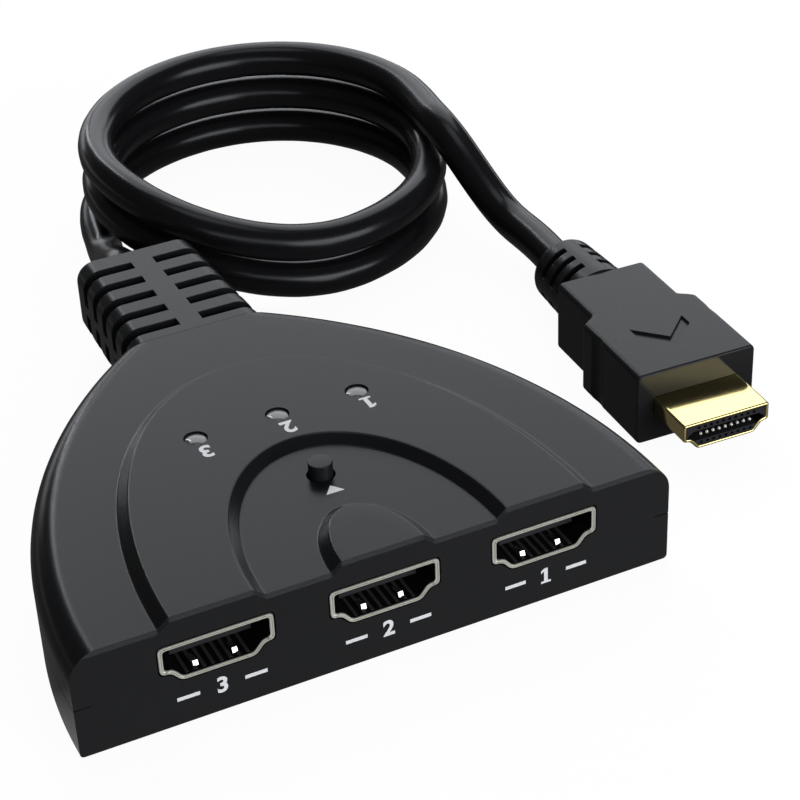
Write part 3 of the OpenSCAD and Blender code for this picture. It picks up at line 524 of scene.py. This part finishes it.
def port_block(grow, x, z, y0, y1):
    """A closed block over a port's outline, from one distance behind the port face to another."""
    return capped([port_ring(grow, x, y, z) for y in (y0, y1)])


port_z, port_xs, lip_t, window_gap, roof_z, cavity_step = 9.7, (22.75, 0, -22.75), 0.6, 0.2, 13.6, 1.6
shoulder_z = roof_z - 2
plate_x, neck_x = case_w / 2 - wall, case_w / 2 - wall - cavity_step
plate_edge = [
    (-plate_x, 0), (plate_x, 0), (plate_x, shoulder_z), (neck_x, shoulder_z), (neck_x, roof_z),
    (-neck_x, roof_z), (-neck_x, shoulder_z), (-plate_x, shoulder_z),
]
port_plate = as_object(
    "port_plate_insert", capped([[at(x, y, z) for x, z in plate_edge] for y in (0, plate_t)]), case_black
)
take_out(port_plate, [port_block(lip_t + window_gap, x, port_z, -1, 3) for x in port_xs])
seat(shade(port_plate, 32), ["port_plate"])


# Ports. Each is a drawn shell of nickel-plated steel with a grooved, turned lip, legs down through the
# board and two sprung tongues bent up from its floor. Its inner walls are given a near-black finish as
# painted shade, with fine ribs along its floor, coloured lighter as painted light on their tops.
port_nickel = grained(
    "port_nickel", (0.74, 0.74, 0.68), (0.8, 0.8, 0.74), 0.28, 0.38, 2600, 90, 0.15, metallic=1.0
)
# Painted shade: a near-black finish for the shells' inner walls, which are nickel steel like the rest.
inner_wall_painted_shade = grained(
    "inner_wall_painted_shade", (0.003, 0.003, 0.0035), (0.005, 0.005, 0.0055), 0.5, 0.6, 3000, 60, 0.1, specular=0.1
)
# Black plastic ribs, coloured lighter than the painted-shade walls as painted light on their tops.
rib_black_painted_light = grained(
    "rib_black_painted_light", (0.035, 0.034, 0.033), (0.045, 0.044, 0.042), 0.4, 0.5, 3000, 60, 0.1, specular=0.3
)
shell_len, shell_t, lip_out = 11.6, 0.4, 0.1
shell_profile = [
    (shell_t, shell_len), (shell_t, 1), (lip_t, 1), (lip_t, 0), (lip_t - 0.07, -lip_out), (0.39, -lip_out),
    (0.35, 0.08), (0.25, 0.08), (0.21, -lip_out), (0.07, -lip_out), (0, 0), (0, shell_len),
    (shell_t, shell_len),
]
spring_side = [(1.0, 0), (1.3, 0.62), (1.5, 0.62), (3.4, 0)]
spring_out, spring_w = 2.6, 0.68
leg_out, leg_ys, leg_t, leg_w, leg_low, leg_high = 7.2, (4.2, 9.4), 0.4, 1, 2.4, port_z - 0.8
rib_count, rib_pitch, rib_w, rib_from, rib_to = 8, 1.15, 0.44, 0.35, 8
rib_low, rib_high = port_z - 2.3, port_z - 2.2
for number, x in enumerate(port_xs, 1):
    bm = bmesh.new()
    skin(bm, [port_ring(grow, x, y, port_z) for grow, y in shell_profile])
    for side in (-1, 1):
        ramp = [(y, port_z - port_h / 2 + rise) for y, rise in spring_side]
        spring_x, leg_x = x + side * spring_out, x + side * leg_out
        edges = (spring_x - spring_w / 2, spring_x + spring_w / 2)
        capped([[at(edge, y, z) for y, z in ramp] for edge in edges], bm)
        for y in leg_ys:
            block(
                leg_x - leg_t / 2, leg_x + leg_t / 2, y - leg_w / 2, y + leg_w / 2, leg_low, leg_high, bm
            )
    shell = as_object(f"port_shell_{number}", bm, port_nickel)
    # Painted shade: the shell's inner walls take the near-black finish in place of nickel.
    shell.data.materials.append(inner_wall_painted_shade)
    for face in shell.data.polygons:
        if len(face.vertices) == 4 and abs(face.center.y - face_y - shell_len / 2 * mm) < 0.1 * mm:
            face.material_index = 1
    bm = bmesh.new()
    for i in range(rib_count):
        middle = x + (i - (rib_count - 1) / 2) * rib_pitch
        block(middle - rib_w / 2, middle + rib_w / 2, rib_from, rib_to, rib_low, rib_high, bm)
    ribs = as_object(f"port_ribs_{number}", bm, rib_black_painted_light)
    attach(ribs, "box")
    seat(shade(shell, 32), [f"hdmi_shell_{number}"])


# Top cover. The fan-shaped lid in the same black ABS, with a raised crescent, a sunk field and
# a small raised island in front, all with sloped, crisply broken edges, and holes for lamps and button.
crest_z, chamfer, drop, top_round, slope = 16.65, 0.23, 0.65, 3.9, 1.5
crest_size, dip_size, island_size = (28.4, 49), (17.4, 27.9), (5.6, 10.6)
columns = 120


def arch(rx, ry, front):
    """Half an ellipse on the port face's line, from right to left."""
    first = math.asin(front / ry)
    return [
        (rx * math.cos(a), ry * math.sin(a))
        for a in (first + (math.pi - 2 * first) * i / columns for i in range(columns + 1))
    ]


def outer_arch(inset, front):
    """The case's outline, met by rays that fan out as the crescent's arch does."""
    end, points = case_len, []
    for i in range(columns + 1):
        a = math.pi * i / columns
        dx, dy = crest_size[0] * math.cos(a), crest_size[1] * math.sin(a)
        low, high = 0.0, 4.0
        for _ in range(50):
            k = (low + high) / 2
            inside = k * dy <= end and abs(k * dx) <= half_width(min(k * dy, end), inset)
            low, high = (k, high) if inside else (low, k)
        points.append((low * dx, low * dy))
    points[0], points[-1] = (case_w / 2 - inset, front), (inset - case_w / 2, front)
    for corner in (half_width(end, inset), -half_width(end, inset)):
        nearest = min(range(columns + 1), key=lambda i: math.dist(points[i], (corner, end)))
        points[nearest] = (corner, end)
    return [(x, max(y, front)) for x, y in points]


def soft_slope(out_high, out_low, high, low, r=0.3):
    """Offsets and heights down a sloped edge, its two corners rounded."""
    corners = [(out_high - math.copysign(1, out_low - out_high), high), (out_high, high), (out_low, low)]
    corners.append((out_low + math.copysign(1, out_low - out_high), low))
    return corner(*corners[:3], r, 4) + corner(*corners[1:], r, 4)


def between(a, b, share):
    """A ring part of the way from one ring to another."""
    return [(p[0] + (q[0] - p[0]) * share, p[1] + (q[1] - p[1]) * share) for p, q in zip(a, b)]


def sloped(size, outwards):
    """The rings of a field's edge, from its top down to the roof beside it."""
    return [
        (arch(size[0] + offset, size[1] + offset, chamfer), z)
        for offset, z in soft_slope(0, outwards, crest_z, case_h)
    ]


rings = [(arch(island_size[0] * part, island_size[1] * part, chamfer), crest_z) for part in (0.3, 0.65)]
rings += sloped(island_size, slope)
field = sloped(dip_size, -slope)[::-1]
rings += [(between(rings[-1][0], field[0][0], share), case_h) for share in (0.33, 0.67)]
rings += field
crest = sloped(crest_size, slope)
rings += [(between(rings[-1][0], crest[0][0], share), crest_z) for share in (0.25, 0.5, 0.75)]
rings += crest
rim = outer_arch(top_round, chamfer)
rings += [(between(rings[-1][0], rim, share), case_h) for share in (0.33, 0.67)]
for s, c in quarter(12):
    inset, z = top_round * (1 - s), case_h - top_round * (1 - c)
    rings.append((outer_arch(inset, max(0, z - case_h + drop) * chamfer / drop), z))
rings.append((outer_arch(0, 0), seam_z))

bm = bmesh.new()
rows = skin(bm, [[at(x, y, z) for x, y in ring] for ring, z in rings], closed=False)
bm.faces.new(rows[0])
front_edge = [row[-1] for row in reversed(rows)] + [row[0] for row in rows]
edges = [bm.edges.get(pair) for pair in zip(front_edge, front_edge[1:])]
lower_edge = extruded(bm, front_edge, edges)
for v in lower_edge:
    back_by = v.co.y - face_y
    v.co.y -= back_by
    v.co.z -= back_by * drop / chamfer
bm.faces.new(lower_edge)
bm.faces.new(rows[-1])
top_cover = as_object("top_cover_lid", bm, case_black)
lamp_x, led_pitch, led_y, led_hole_r, button_y, button_hole_r = 0.5, 11.9, 34.2, 1.66, 20, 1.95
led_xs = (lamp_x + led_pitch, lamp_x, lamp_x - led_pitch)
take_out(top_cover, [
    prism(plan(wall, -1, cavity_end), seam_z - 1, shoulder_z),
    prism(plan(wall + cavity_step, -1, cavity_end), shoulder_z - 0.1, roof_z),
    *boot_space(),
    *[rod(x, led_y, roof_z - 1, crest_z + 1, led_hole_r) for x in led_xs],
    rod(lamp_x, button_y, roof_z - 1, case_h + 1, button_hole_r),
])
seat(soften(top_cover, 0.06, crisp=14), ["top_cover"])


# Lamps. Three-millimetre light-emitting diodes cast in clear grey epoxy, each with a flange under the
# roof and a low dome that looks out of its hole, with a dark gap round it.
def turned(profile, centre, axis=(0, 0, 1), steps=64):
    """Spins a profile of radii and distances along an axis, in millimetres, into a closed form."""
    bm = bmesh.new()
    verts = [bm.verts.new(centre + Vector((r, 0, 0)) * mm + Vector(axis) * h * mm) for r, h in profile]
    edges = [bm.edges.new(pair) for pair in zip(verts, verts[1:])]
    bmesh.ops.spin(
        bm, geom=verts + edges, cent=centre, axis=axis, dvec=(0, 0, 0), angle=math.tau, steps=steps,
        use_merge=True, use_duplicate=False,
    )
    return bm


lamp_epoxy = grained(
    "lamp_epoxy", (0.1, 0.1, 0.105), (0.17, 0.17, 0.17), 0.06, 0.14, 900, 700, 0.1, specular=0.8
)
led_r, led_rise, led_low, lens_z = 1.5, 0.3, roof_z - 1.05, crest_z + 0.02
led_flange_r, led_flange_z, dome_steps = 1.9, led_low + 1, 12
cap_r = (led_r ** 2 + led_rise ** 2) / (2 * led_rise)
cap_angle = math.asin(led_r / cap_r)
dome_angles = [cap_angle * i / dome_steps for i in range(dome_steps, -1, -1)]
lamp_profile = [(0, led_low), (led_flange_r, led_low), (led_flange_r, led_flange_z), (led_r, led_flange_z)]
lamp_profile += [(cap_r * math.sin(a), lens_z - cap_r * (1 - math.cos(a))) for a in dome_angles]
for number, x in enumerate(led_xs, 1):
    lamp = as_object(f"lamp_{number}", turned(lamp_profile, at(x, led_y, 0)), lamp_epoxy)
    seat(shade(lamp, 40), [f"led_{number}"])


# Select button. The long round stem of a tact switch in matt black nylon, turned over at its top edge,
# with a collar and a nub that rest on the switch's spring disc.
button_black = grained(
    "button_black", (0.0105, 0.0108, 0.0115), (0.0135, 0.0138, 0.0147), 0.22, 0.28, 3800, 200, 0.3,
    specular=0.17,
)
button_profile = [
    (0, 9.025), (0.6, 9.025), (0.6, 9.375), (2.2, 9.375), (2.2, 10.075), (1.65, 10.075), (1.65, 17.34),
    (1.62, 17.44), (1.55, 17.485), (1.4, 17.5), (0, 17.5),
]
button = as_object("select_stem", turned(button_profile, at(lamp_x, button_y, 0)), button_black)
seat(shade(button, 50), ["select_button"], body="button")


# Spring disc. A thin cap of sprung steel in the switch, its rim on the contacts. The button's nub
# presses it flatter, and it clicks back up when the button is let go.
disc_steel = grained(
    "disc_steel", (0.5, 0.5, 0.5), (0.62, 0.62, 0.63), 0.25, 0.4, 2500, 150, 0.2, metallic=1.0
)
disc_low, disc_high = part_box("tact_dome")
disc_r, disc_t, disc_rise = 2.2, 0.1, (disc_high.z - disc_low.z) / mm
ball_r = (disc_r ** 2 + disc_rise ** 2) / (2 * disc_rise)


def disc_side(r, steps=10):
    """One side of the cap, from its middle to its rim."""
    rim = math.acos((ball_r - disc_rise) / r)
    return [
        (r * math.sin(rim * i / steps), disc_rise - ball_r + r * math.cos(rim * i / steps))
        for i in range(steps + 1)
    ]


disc_foot = at(lamp_x, button_y, disc_low.z / mm)
disc_profile = disc_side(ball_r) + disc_side(ball_r - disc_t)[::-1]
disc = as_object("spring_disc", turned(disc_profile, disc_foot), disc_steel)
seat(shade(disc, 40), ["tact_dome"])
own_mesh(disc)


# Cable boot. A block of soft black vinyl moulded over the cable's end and held by a flange inside the
# case, with five rows of slots round it that let it bend, and webs that join its ribs.
boot_rubber = grained(
    "boot_rubber", (0.0105, 0.0108, 0.0115), (0.0135, 0.0138, 0.0147), 0.22, 0.28, 5500, 30, 0.3,
    specular=0.19,
)
boot_tip_w, boot_round, boot_edge, slot_depth = 19.2, 3, 0.6, 1.6
slot_count, slot_w, slot_pitch, slot_first, top_web, side_web = 5, 1.95, 4.75, 3.8, 3.5, 1.6
flange_w, flange_h, flange_t = 17.5, 8, 2


def rounded_box(w, low, high, r, steps=8):
    """An upright rectangle with round corners, in X and Z."""
    points, side = [], w / 2 - r
    for cx, cz, start in (
        (side, low + r, -90), (side, high - r, 0), (-side, high - r, 90), (-side, low + r, 180)
    ):
        for k in range(steps + 1):
            a = math.radians(start + 90 * k / steps)
            points.append((cx + r * math.cos(a), cz + r * math.sin(a)))
    return points


def boot_ring(y, pull):
    """The boot's outline at a distance behind the port face, pulled in."""
    w = boot_w + (boot_tip_w - boot_w) * (y - boot_y) / (boot_end - boot_y)
    points = rounded_box(w - 2 * pull, boot_z + pull, case_h - pull, boot_round - pull / 2)
    return [at(x, y, z) for x, z in points]


def neck_ring(y, w, h):
    """The outline of the boot's neck or flange inside the case."""
    return [at(x, y, z) for x, z in rounded_box(w, boot_mid - h / 2, boot_mid + h / 2, 0.4)]


flange_y = cavity_end - 0.1
rings = [neck_ring(flange_y - flange_t, flange_w, flange_h), neck_ring(flange_y, flange_w, flange_h)]
rings += [neck_ring(flange_y, neck_w, neck_h), neck_ring(boot_y, neck_w, neck_h), boot_ring(boot_y, 0)]
for s, c in quarter(4):
    rings.append(boot_ring(boot_end - boot_edge * (1 - s), boot_edge * (1 - c)))
boot = as_object("boot_sleeve", capped(rings), boot_rubber)
bm = bmesh.new()
for i in range(slot_count):
    far = boot_end - slot_first - i * slot_pitch
    block(-boot_w, boot_w, far - slot_w, far, 0, 2 * case_h, bm)
boot_slots = take_out(as_object("boot_slots", bm), [
    capped([boot_ring(y, slot_depth) for y in (boot_y - 1, boot_end + 1)]),
    block(-top_web / 2, top_web / 2, boot_y - 1, boot_end + 1, -1, 3 * case_h),
    block(
        -2 * boot_w, 2 * boot_w, boot_y - 1, boot_end + 1, boot_mid - side_web / 2, boot_mid + side_web / 2
    ),
])
take_out(boot, [boot_slots])
seat(soften(boot, 0.1), ["cable_boot"])


# Strain relief of the plug. A short round sleeve of the same soft vinyl behind the grip, tapered to
# its rounded end, with three rows of slots between four webs.
into_plug = (
    Matrix.Translation(at(plug_x, plug_y, plug_mid)) @ Matrix.Rotation(plug_turn, 4, "Z")
    @ Matrix.Translation(-at(0, 0, 0))
)


def on_plug(bm):
    """Moves a form drawn about the port face's middle to the plug's own place and turn."""
    bmesh.ops.transform(bm, matrix=into_plug, verts=bm.verts)
    return bm


relief_r, relief_tip_r, relief_round, relief_slot_depth, relief_web = 5.95, 5.4, 0.8, 1.4, 2.6
relief_slots, relief_slot_w, relief_slot_pitch, relief_slot_first = 3, 1.3, 2.95, 2.65
relief_end, relief_up = plug_len + relief_len, relief_r - plug_mid
relief_profile = [(0, plug_len), (relief_r, plug_len)]
for s, c in quarter(6):
    relief_profile.append((relief_tip_r - relief_round * (1 - c), relief_end - relief_round * (1 - s)))
relief_profile.append((0, relief_end))
plug_axis = (0, 1, 0)
relief_sleeve = turned(relief_profile, at(0, 0, relief_up), plug_axis)
relief = as_object("strain_relief", on_plug(relief_sleeve), boot_rubber)
bm = bmesh.new()
for i in range(relief_slots):
    far = relief_end - relief_slot_first - i * relief_slot_pitch
    block(-2 * relief_r, 2 * relief_r, far - relief_slot_w, far, -2 * relief_r, 2 * relief_r, bm)
core_r, past_end, reach = relief_tip_r - relief_slot_depth, 50, 4 * relief_r
core = [(0, 0), (core_r, 0), (core_r, past_end), (0, past_end)]
relief_cuts = take_out(as_object("relief_cuts", on_plug(bm)), [
    on_plug(turned(core, at(0, 0, relief_up), plug_axis)),
    on_plug(block(-relief_web / 2, relief_web / 2, 0, past_end, -reach, reach)),
    on_plug(block(-reach, reach, 0, past_end, relief_up - relief_web / 2, relief_up + relief_web / 2)),
])
take_out(relief, [relief_cuts])
seat(soften(relief, 0.08), ["plug_relief"])


# Plug grip. The black moulding a hand holds, with rounded long edges, a step in to its narrow tail,
# a hollow down each side and a plain arrow sunk in its top. Its front face comes polished from the tool.
grip_black = grained(
    "grip_black", (0.014, 0.0143, 0.0152), (0.017, 0.0174, 0.0184), 0.22, 0.28, 5500, 30, 0.3, specular=0.19
)
grip_polished = grained(
    "grip_polished", (0.015, 0.015, 0.016), (0.018, 0.018, 0.019), 0.08, 0.12, 2000, 60, 0.01, specular=0.19
)
plug_w, plug_neck_w, plug_round, plug_edge, step_y, step_run, nose_z = 19.3, 15, 0.9, 0.35, 16.2, 2.2, -0.55
scoop_y, scoop_w, scoop_depth = 11.95, 3.7, 0.5
scoop_r = (scoop_w ** 2 / 4 + scoop_depth ** 2) / (2 * scoop_depth)


def grip_ring(y, pull):
    """The grip's outline at a distance behind its front, pulled in."""
    w = plug_w + (plug_neck_w - plug_w) * ease((y - step_y) / step_run) - 2 * pull
    points = rounded_box(w, pull - plug_mid, plug_mid - pull, plug_round - pull / 2, 6)
    return [at(x, y, z) for x, z in points]


ends = [(plug_edge * (1 - c), plug_edge * (1 - s)) for s, c in quarter(4)]
rings = [grip_ring(from_end, pull) for from_end, pull in ends]
rings += [grip_ring(step_y + step_run * i / 12, 0) for i in range(13)]
rings += [grip_ring(plug_len - from_end, pull) for from_end, pull in reversed(ends)]
grip = as_object("plug_handle", on_plug(capped(rings)), grip_black)
arrow = [(0, 5.2), (4.4, 9.6), (4.4, 12), (0, 7.6), (-4.4, 12), (-4.4, 9.6)]
arrow_depth = 0.4
scoop_x = plug_w / 2 + scoop_r - scoop_depth
take_out(grip, [
    on_plug(port_block(0, 0, nose_z, -1, 3)),
    *[on_plug(rod(side * scoop_x, scoop_y, -9, 9, scoop_r, 96)) for side in (-1, 1)],
    on_plug(prism(arrow, plug_mid - arrow_depth, plug_mid + 1)),
])
grip.data.materials.append(grip_polished)
front_middle, front_way = into_plug @ at(0, 0, 0), into_plug.to_3x3() @ Vector((0, -1, 0))
for face in grip.data.polygons:
    if face.normal.dot(front_way) > 0.99 and abs((face.center - front_middle).dot(front_way)) < 0.05 * mm:
        face.material_index = 1
seat(soften(grip, 0.08), ["plug_grip"])


# Plug shell. Folded from thin steel sheet and plated with gold, with a rounded mouth,
# it stands out of the grip's front and slides into a port.
gold_plate = grained(
    "gold_plate", (0.8, 0.66, 0.28), (0.88, 0.74, 0.34), 0.1, 0.16, 2000, 60, 0.015, metallic=1.0
)
plug_nose, plug_play, plug_seat, nose_t, mouth_round = 8.6, 0.05, 3, 0.5, 0.3
shell_out, shell_in, bend_y = -plug_play, -plug_play - nose_t, mouth_round - plug_nose
nose_profile = [(shell_in, plug_seat), (shell_in, bend_y)]
for k in range(9):
    a = math.radians(180 * k / 8)
    nose_profile.append((shell_in + nose_t / 2 * (1 - math.cos(a)), bend_y - mouth_round * math.sin(a)))
nose_profile += [(shell_out, plug_seat), (shell_in, plug_seat)]
bm = bmesh.new()
skin(bm, [port_ring(grow, 0, y, nose_z) for grow, y in nose_profile])
nose = as_object("plug_nose", on_plug(bm), gold_plate)
seat(shade(nose, 40), ["plug_shell"])


# Plug insulator and pins. A black nylon block set back in the gold mouth, with a slot for the port's
# tongue, a row of small square wells above and below it, and contacts along the slot whose pale gilt
# tips show; their shafts behind the tips are given the block's black as painted shade.
insulator_black = grained(
    "insulator_black", (0.016, 0.016, 0.018), (0.022, 0.022, 0.025), 0.4, 0.5, 3000, 60, 0.1, specular=0.3
)
mouth_y, slot_floor, block_in = 0.12 - plug_nose, -1.2, 0.58
slot_edge = [(-6.3, 0.1), (-5.4, 0.8), (5.4, 0.8), (6.3, 0.1), (5.4, -0.8), (-5.4, -0.8)]
well_x, well_z = 0.24, 0.22
wells = bmesh.new()
for count, row_z in ((10, 1.28), (9, -1.28)):
    for i in range(count):
        x, z = i - (count - 1) / 2, nose_z + row_z
        block(x - well_x, x + well_x, mouth_y - 1, mouth_y + 2, z - well_z, z + well_z, wells)
insulator_form = port_block(-block_in, 0, nose_z, mouth_y, plug_seat)
insulator = as_object("plug_block", on_plug(insulator_form), insulator_black)
take_out(insulator, [
    on_plug(capped([[at(x, y, nose_z + z) for x, z in slot_edge] for y in (mouth_y - 1, slot_floor)])),
    on_plug(wells),
])
seat(shade(insulator, 32), ["plug_insulator"])

pin_plate = grained(
    "pin_plate", (0.92, 0.88, 0.78), (0.97, 0.94, 0.86), 0.35, 0.45, 2000, 60, 0.02
)
tip_r, tip_y, pin_count = 0.22, mouth_y + 0.3, 9
pin_profile = [(0, slot_floor), (tip_r, slot_floor), (tip_r, tip_y + 0.1)]
pin_profile += [(tip_r * c, tip_y - tip_r * s) for s, c in quarter(4)]
bm = bmesh.new()
for i in range(pin_count):
    pin = as_object("pin", turned(pin_profile, at(i - (pin_count - 1) / 2, 0, nose_z), plug_axis, 12))
    bm.from_mesh(pin.data)
    bpy.data.meshes.remove(pin.data)
pins = as_object("plug_contacts", on_plug(bm), pin_plate)
# Painted shade: the contacts' shafts behind their tips take the block's black in place of their plating.
pins.data.materials.append(insulator_black)
mouth_middle = into_plug @ at(0, tip_y + 0.05, 0)
for face in pins.data.polygons:
    face.material_index = int((face.center - mouth_middle).dot(front_way) < 0)
pins.data.shade_smooth()
seat(pins, ["plug_pins"])


# Printed marks. White ink, pad-printed: a plain numeral between two dashes under each port, the same
# numerals by the lamps, turned to be read from the cable's side, and a small arrowhead at the button.
white_ink = grained("white_ink", (0.92, 0.92, 0.92), (0.97, 0.97, 0.97), 0.5, 0.6, 2500, 300, 0.2)
ink_t, port_numeral, lamp_numeral = 0.02, 3.3, 3.8
mark_right, mark_z, dash_out, dash_w, dash_low, dash_high = 0.2, 3.9, 4.5, 3, 3.65, 4.2
lamp_mark_right, lamp_mark_y = 0.1, 30.75
arrow_half, arrow_foot, arrow_tip = 1.3, 15.4, 17.1


def footed_one(size):
    """A 1 with a flag and a foot, drawn flat."""
    high, stem, foot, bar = 0.36 * size, 0.085 * size, 0.22 * size, 0.1 * size
    outline = [
        (-foot, -high), (foot, -high), (foot, bar - high), (stem, bar - high), (stem, high),
        (-stem, high), (-foot, high - bar), (-foot, high - 2.2 * bar), (-stem, high - 1.5 * bar),
        (-stem, bar - high), (-foot, bar - high),
    ]
    return capped([[Vector((x, y, z)) * mm for x, y in outline] for z in (-ink_t / 2, ink_t / 2)])


def typed(figure, size):
    """A numeral of the built-in type, made a flat mesh."""
    letters = bpy.data.curves.new("numeral", "FONT")
    letters.body, letters.size = str(figure), size * mm
    letters.align_x, letters.align_y = "CENTER", "CENTER"
    letters.extrude, letters.offset = ink_t / 2 * mm, 0.03 * size * mm
    letters.resolution_u = 6
    drawn = bpy.data.objects.new("numeral", letters)
    bpy.context.scene.collection.objects.link(drawn)
    bm = bmesh.new()
    bm.from_mesh(bpy.data.meshes.new_from_object(drawn.evaluated_get(bpy.context.evaluated_depsgraph_get())))
    bpy.data.objects.remove(drawn)
    return bm


def numeral(figure, size, place):
    """A plain numeral, set in its place."""
    bm = footed_one(size) if figure == 1 else typed(figure, size)
    bmesh.ops.transform(bm, matrix=place, verts=bm.verts)
    return bm


facing_front, upside_down = Matrix.Rotation(math.pi / 2, 4, "X"), Matrix.Rotation(math.pi, 4, "Z")
for number, (port_x, led_x) in enumerate(zip(port_xs, led_xs), 1):
    middle = port_x + mark_right
    place = Matrix.Translation(at(middle, -ink_t / 2, mark_z)) @ facing_front
    bm = numeral(number, port_numeral, place)
    for x in (middle - dash_out, middle + dash_out):
        block(x - dash_w / 2, x + dash_w / 2, -ink_t, 0.01, dash_low, dash_high, bm)
    port_mark = as_object(f"port_mark_{number}", bm, white_ink)
    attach(port_mark, "box")
    place = Matrix.Translation(at(led_x + lamp_mark_right, lamp_mark_y, crest_z + ink_t / 2)) @ upside_down
    lamp_mark = as_object(f"lamp_mark_{number}", numeral(number, lamp_numeral, place), white_ink)
    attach(lamp_mark, "box")
arrowhead = [(lamp_x - arrow_half, arrow_foot), (lamp_x + arrow_half, arrow_foot), (lamp_x, arrow_tip)]
button_mark = as_object("button_mark", prism(arrowhead, case_h - 0.01, case_h + ink_t), white_ink)
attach(button_mark, "box")


# Inner pieces and screws. The board with its parts, the ports' cores and contacts, the switch and the
# wires stay as the solids have them, each in the finish of what it is made of.
def dress(material, *names):
    """Gives solids a finish."""
    for name in names:
        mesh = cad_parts[name].data
        mesh.materials.clear()
        mesh.materials.append(material)


ports = (1, 2, 3)
dress(insulator_black, "tact_base", *[f"hdmi_core_{n}" for n in ports])
dress(gold_plate, *[f"hdmi_contacts_{n}" for n in ports])
tinned = grained(
    "tinned_metal", (0.5, 0.5, 0.5), (0.62, 0.62, 0.63), 0.25, 0.4, 2500, 150, 0.2, metallic=1.0
)
dress(tinned, "led_pins", "tact_cover", "tact_legs", "chip_leads")
steel = grained("screw_steel", (0.3, 0.3, 0.31), (0.42, 0.42, 0.43), 0.3, 0.45, 2500, 250, 0.3, metallic=1.0)
dress(steel, "case_screws")
board_green = grained("board_green", (0.008, 0.05, 0.02), (0.012, 0.075, 0.03), 0.35, 0.5, 3000, 80, 0.2)
dress(board_green, "circuit_board")
chip_epoxy = grained("chip_epoxy", (0.012, 0.012, 0.013), (0.02, 0.02, 0.021), 0.5, 0.65, 5000, 200, 0.4)
dress(chip_epoxy, "switch_chip", "control_chip")
capacitor_tan = grained("capacitor_tan", (0.3, 0.2, 0.11), (0.36, 0.25, 0.15), 0.35, 0.5, 3000, 400, 0.2)
dress(capacitor_tan, "capacitors")
resistor_black = grained(
    "resistor_black", (0.015, 0.015, 0.016), (0.03, 0.03, 0.03), 0.4, 0.5, 3000, 400, 0.2
)
dress(resistor_black, "resistors")
wire_red = grained("wire_red", (0.3, 0.02, 0.015), (0.4, 0.03, 0.02), 0.35, 0.45, 1500, 200, 0.15)
dress(wire_red, "cable_wires")
